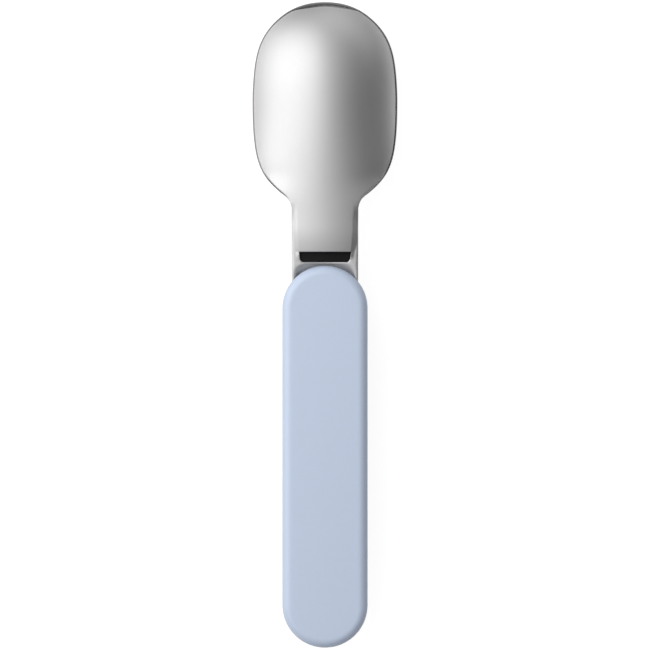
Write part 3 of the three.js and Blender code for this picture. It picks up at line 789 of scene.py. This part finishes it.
class Station:
    """One section of the sheet along a ray from its middle to its edge"""

    def __init__(self, form, middle, edge):
        sizes = form.sizes
        reach = edge - middle
        self.form = form
        self.middle = middle
        self.width = reach.length
        self.direction = reach / self.width
        self.channel = 1.0 - smoother(edge.y, form.root_y, form.root_y + sizes.channel_blend)
        self.squareness = mix(2.0, sizes.squareness, self.channel**2)
        self.end_turn = mix(sizes.rim_turn, math.pi / 2.0, self.channel)
        widened = smooth(edge.y, TIP_Y - sizes.rim_widening, TIP_Y - 0.1 * MM)
        self.lip = smooth(edge.y, form.root_y + sizes.rim_start, form.root_y + sizes.rim_full)
        self.band = mix(sizes.rim_side, sizes.rim_tip, widened) * self.lip
        self.band_drop = self.band * math.tan(sizes.rim_slope)
        self.edge_z = form.edge_height(edge.y) + sizes.rim_edge + self.band_drop
        self.in_tip = middle.y >= form.widest_y and edge.y > form.widest_y
        if self.in_tip:
            crease = middle + self.direction * (self.width - self.band)
            self.edge_z = form.tip_height(crease.x, crease.y)

    def fall(self, part):
        """Share of the section's drop at a share of its width: bowl's arc, channel's bend or both"""
        sizes = self.form.sizes
        soft_bend = 6.0
        sine = min(math.sin(sizes.rim_turn) * part, 1.0)
        arc = (1.0 - math.sqrt(1.0 - sine * sine)) / (1.0 - math.cos(sizes.rim_turn))
        if self.channel == 0.0:
            return arc
        power = mix(soft_bend, sizes.squareness, self.channel)
        bend = 1.0 - max(1.0 - part**power, 0.0) ** (1.0 / power)
        return mix(arc, bend, self.channel)

    def parts(self):
        """Shares of the width at which the section is drawn"""
        rows = [FLAT_SHARE * k / FLAT_COLUMNS for k in range(FLAT_COLUMNS + 1)]
        half = self.squareness / 2.0
        start = math.asin(min(math.sin(self.end_turn) * FLAT_SHARE**half, 1.0))
        for angle in spread(start, self.end_turn, BEND_COLUMNS):
            rows.append(min((math.sin(angle) / math.sin(self.end_turn)) ** (1.0 / half), 1.0))
        return rows

    def section_height(self, part, inset):
        """Height of a section that is drawn in by an inset"""
        form = self.form
        fallen = self.fall(part)
        x = self.direction.x * (self.width - self.band - inset) * part
        top = form.middle_height(self.middle.y) - inset
        neck = form.neck_offset(x, self.middle.y) * self.channel if self.channel > 0.0 else 0.0
        return top - (top - self.edge_z) * fallen + neck * (1.0 - fallen)

    def height(self, part, inset):
        """Height of the sheet's back, or of its inside with an inset"""
        reach = self.width - self.band
        outward = self.outward(part, inset)
        if self.in_tip:
            place = self.middle + self.direction * outward
            return self.form.tip_height(place.x, place.y) - inset
        below = self.section_height(outward / reach, 0.0) - inset
        return mix(below, self.section_height(outward / (reach - inset), inset), self.channel)

    def outward(self, part, inset):
        """Distance from the middle; the inside lies under the back and is drawn in only at the bends"""
        reach = self.width - self.band
        flat = min(part, FLAT_SHARE)
        bent = (part - flat) / (1.0 - FLAT_SHARE)
        return mix(reach * flat, reach - inset, bent)

    def place(self, side, outward, z):
        """Point at a distance along the ray, on one side of the spoon"""
        x = side * self.direction.x * outward
        return Vector((x, self.middle.y + self.direction.y * outward, z))

    def point(self, side, part, inset):
        return self.place(side, self.outward(part, inset), self.height(part, inset))

    def rim(self, side):
        """Points of the rim, from the crease of its bevel round to the sheet's inside"""
        edge = self.form.sizes.rim_edge
        band = self.band
        drop = self.band_drop
        # Distances out from the crease and down from it, for the bowl's rim and the neck's edge
        bowl = [
            (0.08 * band, 0.04 * drop),
            (0.5 * band, 0.48 * drop),
            (0.9 * band, 0.9 * drop),
            (band, drop + 0.15 * edge),
            (band, drop + 0.75 * edge),
            (band - 0.2 * edge, drop + edge),
            (band - 0.9 * edge, drop + edge),
        ]
        flange = [
            (0.0, 0.2 * edge),
            (-0.05 * edge, 0.5 * edge),
            (-0.2 * edge, 0.8 * edge),
            (-0.6 * edge, edge),
            (-1.2 * edge, edge),
            (-1.8 * edge, edge),
            (-2.2 * edge, 0.7 * edge),
        ]
        points = []
        for (out_a, down_a), (out_b, down_b) in zip(bowl, flange):
            outward = self.width - band + mix(out_b, out_a, self.lip)
            down = mix(down_b, down_a, self.lip)
            points.append(self.place(side, outward, self.edge_z - down))
        return points


def slot_distance(form, x, y):
    """Distance to the slot's outline in plan, negative inside it"""
    sizes = form.sizes
    far_corner = 0.05 * MM
    middle_y = mix(form.slot_near_y, form.slot_far_y, 0.5)
    corner = sizes.slot_corner if y < middle_y else far_corner
    part = clamp((y - form.slot_near_y) / sizes.slot_width)
    half_x = mix(sizes.slot_near_half, sizes.slot_half, part) - corner
    half_y = sizes.slot_width / 2.0 - corner
    aside = abs(x) - half_x
    along = abs(y - middle_y) - half_y
    outside = math.hypot(max(aside, 0.0), max(along, 0.0))
    return outside + min(max(aside, along), 0.0) - corner


def slot_ring(form, inset, z):
    """Outline of the slot, drawn in by an inset"""
    sizes = form.sizes
    corner = sizes.slot_corner - inset
    corner_x = sizes.slot_near_half - sizes.slot_corner
    corner_y = form.slot_near_y + sizes.slot_corner
    far_half = sizes.slot_half - inset
    far_y = form.slot_far_y - inset
    points = [(far_half, far_y, z), (-far_half, far_y, z)]
    for side, start in ((-1.0, math.pi), (1.0, 1.5 * math.pi)):
        for k in range(SLOT_CORNER_STEPS + 1):
            angle = start + math.pi / 2.0 * k / SLOT_CORNER_STEPS
            x = side * corner_x + corner * math.cos(angle)
            points.append((x, corner_y + corner * math.sin(angle), z))
    return points


def snap_to_slot(form, x, y):
    """Nearest point on the slot's outline"""
    step = 0.001 * MM
    tries = 6
    for _ in range(tries):
        distance = slot_distance(form, x, y)
        slope_x = (slot_distance(form, x + step, y) - distance) / step
        slope_y = (slot_distance(form, x, y + step) - distance) / step
        size = max(slope_x * slope_x + slope_y * slope_y, 0.25)
        x -= distance * slope_x / size
        y -= distance * slope_y / size
    return x, y


def neck_surface(form, x, y):
    """Height of the neck at a place in plan, with the slot's rounded edge"""
    station = Station(form, Vector((0.0, y)), Vector((form.sizes.neck_half, y)))
    height = station.height(min(abs(x) / station.width, 1.0), 0.0)
    sizes = form.sizes
    roll_end = form.slot_near_y + 0.3 * MM
    near = 1.0 - smooth(y, form.slot_near_y - 0.1 * MM, roll_end)
    roll = mix(sizes.slot_crisp, sizes.slot_roll, near)
    depth = min(max(roll - slot_distance(form, x, y), 0.0), roll)
    return height - (roll - math.sqrt(max(roll * roll - depth * depth, 0.0)))


def head_mesh(form):
    """Vertices, faces and rim faces of the whole pressed sheet"""
    stations = form.outline()
    columns = FLAT_COLUMNS + BEND_COLUMNS
    vertices = []
    faces = []
    rim_faces = set()
    slack = 0.01 * MM
    slot_top = form.slot_far_y + slack
    slot_bottom = form.slot_near_y - slack
    lip_start = 0.3
    for side in (-1.0, 1.0):
        layers = []
        for inset in (0.0, form.sizes.sheet):
            grid = []
            for station in stations:
                row = []
                for part in station.parts():
                    row.append(len(vertices))
                    vertices.append(station.point(side, part, inset))
                grid.append(row)
            layers.append(grid)
        back, inside = layers
        cut = set()
        for i in range(len(stations) - 1):
            y = mix(stations[i].middle.y, stations[i + 1].middle.y, 0.5)
            if stations[i].channel < 1.0 or not slot_bottom < y < slot_top:
                continue
            for j in range(columns):
                x = mix(vertices[back[i][j]].x, vertices[back[i][j + 1]].x, 0.5)
                if slot_distance(form, x, y) < 0.0:
                    cut.add((i, j))
        shape_slot_edge(form, stations, back, inside, cut, vertices)
        for i in range(len(stations) - 1):
            for j in range(columns):
                if (i, j) in cut:
                    continue
                faces.append((back[i][j], back[i + 1][j], back[i + 1][j + 1], back[i][j + 1]))
                faces.append((inside[i][j], inside[i][j + 1], inside[i + 1][j + 1], inside[i + 1][j]))
        faces.extend(slot_walls(cut, back, inside))
        rims = []
        for station, back_row, inside_row in zip(stations, back, inside):
            ring = [back_row[-1]]
            for point in station.rim(side):
                ring.append(len(vertices))
                vertices.append(point)
            ring.append(inside_row[-1])
            rims.append(ring)
        for i in range(len(rims) - 1):
            for k in range(len(rims[i]) - 1):
                if stations[i].lip > lip_start and k < RIM_BEVEL_STEPS:
                    rim_faces.add(len(faces))
                faces.append((rims[i][k], rims[i + 1][k], rims[i + 1][k + 1], rims[i][k + 1]))
        end_ring = back[-1] + rims[-1][1:-1] + list(reversed(inside[-1]))
        faces.append(tuple(end_ring))
    return vertices, faces, rim_faces


def shape_slot_edge(form, stations, back, inside, cut, vertices):
    """Move the vertices at the slot onto its outline and round its edge"""
    touched = set()
    for i, j in cut:
        for corner in ((i, j), (i + 1, j), (i, j + 1), (i + 1, j + 1)):
            touched.add(corner)
    for i, j in touched:
        around = [(i - 1, j - 1), (i - 1, j), (i, j - 1), (i, j)]
        if all(cell in cut for cell in around if cell[1] >= 0):
            continue
        place = vertices[back[i][j]]
        x, y = place.x, place.y
        if j > 0:
            x, y = snap_to_slot(form, x, y)
        for index in (back[i][j], inside[i][j]):
            vertices[index].x = x
            vertices[index].y = y
    reach = form.sizes.slot_roll + 0.02 * MM
    web_share = 0.95
    for i, station in enumerate(stations):
        if station.channel < 1.0:
            continue
        for j in range(FLAT_COLUMNS + BEND_COLUMNS + 1):
            place = vertices[back[i][j]]
            if abs(place.x) >= web_share * station.width:
                continue
            if abs(slot_distance(form, place.x, place.y)) < reach:
                place.z = neck_surface(form, place.x, place.y)


def slot_walls(cut, back, inside):
    """Faces between back and inside round the slot"""
    walls = []
    for i, j in cut:
        around = [
            ((i - 1, j), (i, j), (i, j + 1)),
            ((i + 1, j), (i + 1, j + 1), (i + 1, j)),
            ((i, j + 1), (i, j + 1), (i + 1, j + 1)),
        ]
        if j > 0:
            around.append(((i, j - 1), (i + 1, j), (i, j)))
        for cell, a, b in around:
            if cell in cut:
                continue
            walls.append((back[a[0]][a[1]], back[b[0]][b[1]], inside[b[0]][b[1]], inside[a[0]][a[1]]))
    return walls


def ear_object(sizes, side):
    """Round ear with softened edges; the pin's hole is bored through it afterwards"""
    bevel = 0.15 * MM
    proud = 0.03 * MM
    x_in = side * (sizes.neck_half - sizes.sheet - proud)
    x_out = side * (sizes.neck_half + proud)
    ease = side * bevel
    radius = sizes.ear_radius
    rings = [
        cross_ring(radius - bevel, x_in, EAR_STEPS),
        cross_ring(radius, x_in + ease, EAR_STEPS),
        cross_ring(radius, x_out - ease, EAR_STEPS),
        cross_ring(radius - bevel, x_out, EAR_STEPS),
    ]
    return stack_object("ear", rings)


class SPOON_OT_head(bpy.types.Operator):
    """Press the head: bowl with its ground rim, neck with its raised plate and slot, and ears"""

    bl_idname = "spoon.head"
    bl_label = "Spoon head"

    def execute(self, context):
        sizes = context.scene.spoon_head
        finishes = context.scene.spoon_finishes
        vertices, faces, rim_faces = head_mesh(HeadForm(sizes))
        piece = mesh_object("pressed_head", vertices, faces)
        settle(
            piece, "spoon_head", "head", "head_steel", satin_steel(finishes), ground_steel(finishes)
        )
        # The rim's bevel faces take the darker rim steel, whose colour is painted shade along the rim
        for index in rim_faces:
            piece.data.polygons[index].material_index = 1
        weld(piece)
        reach = sizes.neck_half + PAST
        for side in (-1.0, 1.0):
            combine(piece, ear_object(sizes, side), "UNION")
        ends = [cross_ring(sizes.pin_hole, x, HOLE_STEPS) for x in (-reach, reach)]
        combine(piece, stack_object("pin_hole", ends), "DIFFERENCE")
        shade(piece, HEAD_CREASE)
        return {"FINISHED"}


# Handle


def handle_ring(inset, z):
    """Outline of the handle with full round ends, drawn in by an inset"""
    radius = HANDLE_HALF - inset
    points = []
    ends = ((HANDLE_NEAR_Y - HANDLE_HALF, 0.0), (HANDLE_FAR_Y + HANDLE_HALF, math.pi))
    for end_y, start in ends:
        for k in range(HANDLE_ARC_STEPS + 1):
            angle = start + math.pi * k / HANDLE_ARC_STEPS
            points.append((radius * math.cos(angle), end_y + radius * math.sin(angle), z))
    return points


def handle_prism(name, inset, low, high):
    """Upright body with the handle's outline, drawn in by an inset"""
    return stack_object(name, [handle_ring(inset, z) for z in (low, high)])


def rounded_rings(round_radius, face_z, facing, steps, fullness=2.0):
    """Rings of a rounded edge, from the side to the flat face. A fullness of 2 is a round, 1 a chamfer."""
    rings = []
    power = 2.0 / fullness
    for k in range(steps + 1):
        angle = math.pi / 2.0 * k / steps
        inset = round_radius * (1.0 - abs(math.cos(angle)) ** power)
        drop = round_radius * (1.0 - math.sin(angle) ** power)
        rings.append(handle_ring(inset, face_z - facing * drop))
    return rings


def back_cover(sizes, web_z):
    """Tray that opens downwards, with the stop over the web at its hinge end"""
    seam_z = PIN_Z + sizes.seam_gap / 2.0
    ceiling = HANDLE_TOP - sizes.back_wall
    half = HANDLE_HALF - sizes.side_wall
    stop_z = web_z + sizes.stop_clearance
    below = seam_z - PAST
    rings = list(reversed(rounded_rings(sizes.seam_round, seam_z, -1.0, SEAM_STEPS)))
    rings += rounded_rings(sizes.back_round, HANDLE_TOP, 1.0, HANDLE_EDGE_STEPS, sizes.edge_fullness)
    piece = stack_object("back_cover", rings)
    tray = handle_prism("tray", sizes.side_wall, below, ceiling)
    stop = box_object(
        "stop",
        (-half - PAST, HANDLE_NEAR_Y - sizes.stop_setback, stop_z),
        (half + PAST, HANDLE_NEAR_Y + PAST, HANDLE_TOP),
    )
    combine(tray, stop, "DIFFERENCE")
    combine(piece, tray, "DIFFERENCE")
    mouth = box_object("mouth", (-half, PIN_Y, below), (half, HANDLE_NEAR_Y + PAST, stop_z))
    combine(piece, mouth, "DIFFERENCE")
    return piece


def front_cover(sizes):
    """Tray that opens upwards, with a lip inside the seam and a notch for the neck"""
    seam_z = PIN_Z - sizes.seam_gap / 2.0
    lip_z = PIN_Z + sizes.seam_gap / 2.0 + sizes.lip_height
    above = lip_z + PAST
    half = HANDLE_HALF - sizes.side_wall
    lip_inset = sizes.side_wall + sizes.lip_clearance
    hollow_inset = lip_inset + sizes.lip_thickness
    notch_end = BLOCK_LOW.y - sizes.notch_past
    rings = list(reversed(rounded_rings(sizes.front_round, FRONT_LOW.z, -1.0, HANDLE_EDGE_STEPS)))
    rings += rounded_rings(sizes.seam_round, seam_z, 1.0, SEAM_STEPS)
    piece = stack_object("front_cover", rings)
    lip = handle_prism("lip", lip_inset, sizes.front_wall, lip_z)
    combine(piece, lip, "UNION")
    hollow = handle_prism("hollow", hollow_inset, sizes.front_wall, above)
    wall = box_object(
        "notch_wall", (-half, notch_end - sizes.side_wall, 0.0), (half, notch_end, above + PAST)
    )
    combine(hollow, wall, "DIFFERENCE")
    combine(piece, hollow, "DIFFERENCE")
    notch = box_object("notch", (-half, notch_end, -PAST), (half, HANDLE_NEAR_Y + PAST, above))
    combine(piece, notch, "DIFFERENCE")
    return piece


class SPOON_OT_covers(bpy.types.Operator):
    """Mould the handle's back and front covers"""

    bl_idname = "spoon.covers"
    bl_label = "Handle covers"

    def execute(self, context):
        sizes = context.scene.spoon_handle
        finish = blue_plastic(context.scene.spoon_finishes)
        web_z = PIN_Z + context.scene.spoon_head.web_above_pin
        back = back_cover(sizes, web_z)
        front = front_cover(sizes)
        for piece, node in ((back, "handle_back_cover"), (front, "handle_front_cover")):
            soften_cut_edges(piece, 0.12 * MM)
            settle(piece, node, "handle", "blue_plastic", finish)
            shade(piece, CREASE)
        return {"FINISHED"}


# Hinge


def softened_copy(node, name, width):
    """Copy of a frame node's mesh with softened edges"""
    piece = new_object(name, frame["nodes"][node].data.copy())
    weld(piece, 1e-6)
    soften_cut_edges(piece, width)
    return piece


def slot_insert(sizes):
    """Insert in the neck: a stepped plate under the web, with a tab that fills the slot. The tab's near-black
    colour is also painted shade for the dark inside the slot.
    """
    form = HeadForm(sizes)
    low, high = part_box("neck_insert")
    step_z = low.z + 0.5 * MM
    plate_z = low.z + 1.1 * MM
    narrow = high.x - 1.1 * MM
    piece = box_object("slot_insert", low, (high.x, high.y, step_z))
    setback = 0.2 * MM
    play = 0.05 * MM
    upper = box_object(
        "upper",
        (-narrow, form.slot_near_y + setback, low.z + 0.1 * MM),
        (narrow, high.y - setback, plate_z),
    )
    combine(piece, upper, "UNION")
    rings = [slot_ring(form, play, z) for z in (low.z + 0.2 * MM, high.z)]
    combine(piece, stack_object("tab", rings), "UNION")
    soften_cut_edges(piece, 0.15 * MM)
    return piece


class SPOON_OT_hinge_plastics(bpy.types.Operator):
    """Dress the black hinge block and the insert in the neck"""

    bl_idname = "spoon.hinge_plastics"
    bl_label = "Hinge block and insert"

    def execute(self, context):
        finish = black_plastic(context.scene.spoon_finishes)
        block = softened_copy("hinge_block", "moulded_block", 0.2 * MM)
        insert = slot_insert(context.scene.spoon_head)
        for piece, node, body in ((block, "hinge_block", "handle"), (insert, "neck_insert", "head")):
            settle(piece, node, body, "black_plastic", finish)
            shade(piece, CREASE)
        return {"FINISHED"}


class SPOON_OT_hinge_steel(bpy.types.Operator):
    """Dress the pin and the leaf spring"""

    bl_idname = "spoon.hinge_steel"
    bl_label = "Pin and leaf"

    def execute(self, context):
        finish = bright_steel(context.scene.spoon_finishes)
        for node, name, width in (
            ("hinge_pin", "turned_pin", 0.25 * MM),
            ("detent_spring", "leaf_spring", 0.06 * MM),
        ):
            piece = softened_copy(node, name, width)
            settle(piece, node, "handle", "pin_steel", finish)
            shade(piece, CREASE)
        return {"FINISHED"}


def cut_cross_recess(piece, node):
    """Cut a cross recess in the head of a screw that stands where its node does"""
    low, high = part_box(node)
    x = mix(low.x, high.x, 0.5)
    y = mix(low.y, high.y, 0.5)
    long_half = 1.15 * MM
    thin_half = 0.27 * MM
    depth = 0.7 * MM
    for half_x, half_y in ((long_half, thin_half), (thin_half, long_half)):
        start = (x - half_x, y - half_y, low.z - 0.5 * MM)
        end = (x + half_x, y + half_y, low.z + depth)
        combine(piece, box_object("recess", start, end), "DIFFERENCE")


class SPOON_OT_screws(bpy.types.Operator):
    """Dress the two screws, with a cross recess in each head"""

    bl_idname = "spoon.screws"
    bl_label = "Screws"

    def execute(self, context):
        finish = bright_steel(context.scene.spoon_finishes)
        for side in ("left", "right"):
            node = f"block_screw_{side}"
            piece = softened_copy(node, f"cross_screw_{side}", 0.12 * MM)
            cut_cross_recess(piece, node)
            settle(piece, node, "handle", "pin_steel", finish)
            shade(piece, CREASE)
        return {"FINISHED"}


class SPOON_OT_washers(bpy.types.Operator):
    """Dress the two washers on the pin"""

    bl_idname = "spoon.washers"
    bl_label = "Washers"

    def execute(self, context):
        finish = white_plastic(context.scene.spoon_finishes)
        for side in ("left", "right"):
            node = f"pivot_washer_{side}"
            piece = softened_copy(node, f"thin_washer_{side}", 0.08 * MM)
            settle(piece, node, "handle", "white_plastic", finish)
            shade(piece, CREASE)
        return {"FINISHED"}


# Stage


def floor_material(stage):
    """Pale floor that is white to the camera and in reflections, and still takes a soft shadow"""
    material = bpy.data.materials.new("pale_floor")
    material.use_nodes = True
    tree = material.node_tree
    tree.nodes.clear()
    result = add_node(tree, "ShaderNodeOutputMaterial")
    matt = add_node(tree, "ShaderNodeBsdfDiffuse")
    matt.inputs["Color"].default_value = (stage.floor_tone, stage.floor_tone, stage.floor_tone, 1.0)
    glow = add_node(tree, "ShaderNodeEmission")
    path = add_node(tree, "ShaderNodeLightPath")
    form = add_node(tree, "ShaderNodeNewGeometry")
    clear = add_node(tree, "ShaderNodeBsdfTransparent")
    first = add_node(tree, "ShaderNodeMath", operation="MAXIMUM")
    seen = add_node(tree, "ShaderNodeMath", operation="MAXIMUM")
    strength = add_node(tree, "ShaderNodeMath", operation="MULTIPLY")
    strength.inputs[1].default_value = stage.floor_glow
    both = add_node(tree, "ShaderNodeAddShader")
    under = add_node(tree, "ShaderNodeMixShader")
    wire(
        tree,
        (path, "Is Camera Ray", first, 0),
        (path, "Is Glossy Ray", first, 1),
        (first, "Value", seen, 0),
        (path, "Is Transmission Ray", seen, 1),
        (seen, "Value", strength, 0),
        (strength, "Value", glow, "Strength"),
        (matt, "BSDF", both, 0),
        (glow, "Emission", both, 1),
        (form, "Backfacing", under, "Fac"),
        (both, "Shader", under, 1),
        (clear, "BSDF", under, 2),
        (under, "Shader", result, "Surface"),
    )
    return material


def studio_world(stage):
    """Soft room, light overhead and dark along the horizon, and darker on three of its sides"""
    world = bpy.data.worlds.new("soft_room")
    world.use_nodes = True
    tree = world.node_tree
    backdrop = tree.nodes["Background"]
    backdrop.inputs["Color"].default_value = (1.0, 1.0, 1.0, 1.0)
    place = add_node(tree, "ShaderNodeTexCoord")
    # Direction, share of it at which a change starts and ends, and brightness before and after
    ranges = (
        ((0.0, 0.0, 1.0), 0.05, 0.45, stage.room_low, stage.room_high),
        ((0.9, -0.3, 0.0), 0.0, 0.5, 1.0, stage.room_right),
        ((0.0, 1.0, 0.0), -0.1, 0.45, 1.0, stage.room_far),
        ((0.0, -1.0, 0.0), 0.1, 0.6, 1.0, stage.room_near),
    )
    brightness = None
    for axis, start, end, first, last in ranges:
        along = add_node(tree, "ShaderNodeVectorMath", operation="DOT_PRODUCT")
        along.inputs[1].default_value = axis
        gain = add_node(tree, "ShaderNodeMapRange", interpolation_type="SMOOTHSTEP")
        gain.inputs["From Min"].default_value = start
        gain.inputs["From Max"].default_value = end
        gain.inputs["To Min"].default_value = first
        gain.inputs["To Max"].default_value = last
        wire(tree, (place, "Generated", along, 0), (along, "Value", gain, "Value"))
        if brightness is None:
            brightness = gain.outputs["Result"]
            continue
        product = add_node(tree, "ShaderNodeMath", operation="MULTIPLY")
        tree.links.new(brightness, product.inputs[0])
        tree.links.new(gain.outputs["Result"], product.inputs[1])
        brightness = product.outputs["Value"]
    tree.links.new(brightness, backdrop.inputs["Strength"])
    bpy.context.scene.world = world


def area_lamp(name, power, wide, long, place, target, roll=0.0):
    """Lamp that faces a target, turned about its own axis by a roll"""
    lamp = bpy.data.lights.new(name, "AREA")
    lamp.shape = "RECTANGLE"
    lamp.energy = power
    lamp.size = long
    lamp.size_y = wide
    holder = new_object(name, lamp)
    holder.location = place
    aim = (target - place).to_track_quat("-Z", "Y")
    holder.rotation_euler = (aim @ Quaternion((0.0, 0.0, 1.0), roll)).to_euler()


class SPOON_OT_stage(bpy.types.Operator):
    """Set the floor, the lamps and the camera"""

    bl_idname = "spoon.stage"
    bl_label = "Floor, lamps and camera"

    def execute(self, context):
        stage = context.scene.spoon_stage
        half = stage.floor_half
        floor_z = CAD_BOX[0].z - stage.floor_drop
        plan = ((-half, -half), (half, -half), (half, half), (-half, half))
        floor = mesh_object("floor", [(x, y, floor_z) for x, y in plan], [(0, 1, 2, 3)])
        floor.data.materials.append(floor_material(stage))
        studio_world(stage)
        middle = Vector((0.0, stage.key_shift, 0.0))
        lean = Vector((-math.sin(stage.key_lean), 0.0, math.cos(stage.key_lean)))
        area_lamp(
            "key_lamp", stage.key_power, stage.key_wide, stage.key_long,
            middle + lean * stage.key_distance, middle, stage.key_roll,
        )
        area_lamp(
            "far_lamp", stage.far_power, stage.far_wide, stage.far_long,
            Vector(stage.far_place), Vector((0.0, 0.0, 0.0)),
        )
        lens = bpy.data.cameras.new("camera")
        lens.sensor_width = stage.sensor
        lens.lens = stage.sensor * stage.camera_height / stage.frame_width
        lens.clip_start = 0.05
        lens.clip_end = 20.0
        camera = new_object("camera", lens)
        camera.location = (0.0, stage.frame_middle, stage.focus_height + stage.camera_height)
        context.scene.camera = camera
        context.scene.view_settings.view_transform = "Standard"
        return {"FINISHED"}


OPERATORS = (
    SPOON_OT_head,
    SPOON_OT_covers,
    SPOON_OT_hinge_plastics,
    SPOON_OT_hinge_steel,
    SPOON_OT_screws,
    SPOON_OT_washers,
    SPOON_OT_stage,
)


class SPOON_PT_panel(bpy.types.Panel):
    """Lists the pieces of the spoon"""

    bl_label = "Folding spoon"
    bl_idname = "SPOON_PT_panel"
    bl_space_type = "VIEW_3D"
    bl_region_type = "UI"
    bl_category = "Spoon"

    def draw(self, context):
        for operator in OPERATORS:
            self.layout.operator(operator.bl_idname)


GROUPS = (
    ("spoon_head", SpoonHeadSizes),
    ("spoon_handle", SpoonHandleSizes),
    ("spoon_finishes", SpoonFinishes),
    ("spoon_stage", SpoonStageSizes),
)


def register():
    for name, group in GROUPS:
        bpy.utils.register_class(group)
        setattr(bpy.types.Scene, name, bpy.props.PointerProperty(type=group))
    for operator in OPERATORS:
        bpy.utils.register_class(operator)
    bpy.utils.register_class(SPOON_PT_panel)


def unregister():
    bpy.utils.unregister_class(SPOON_PT_panel)
    for operator in reversed(OPERATORS):
        bpy.utils.unregister_class(operator)
    for name, group in reversed(GROUPS):
        delattr(bpy.types.Scene, name)
        bpy.utils.unregister_class(group)


def main():
    register()
    bpy.ops.spoon.stage()
    bpy.ops.spoon.head()
    bpy.ops.spoon.covers()
    bpy.ops.spoon.hinge_plastics()
    bpy.ops.spoon.hinge_steel()
    bpy.ops.spoon.screws()
    bpy.ops.spoon.washers()


if __name__ == "__main__":
    main()
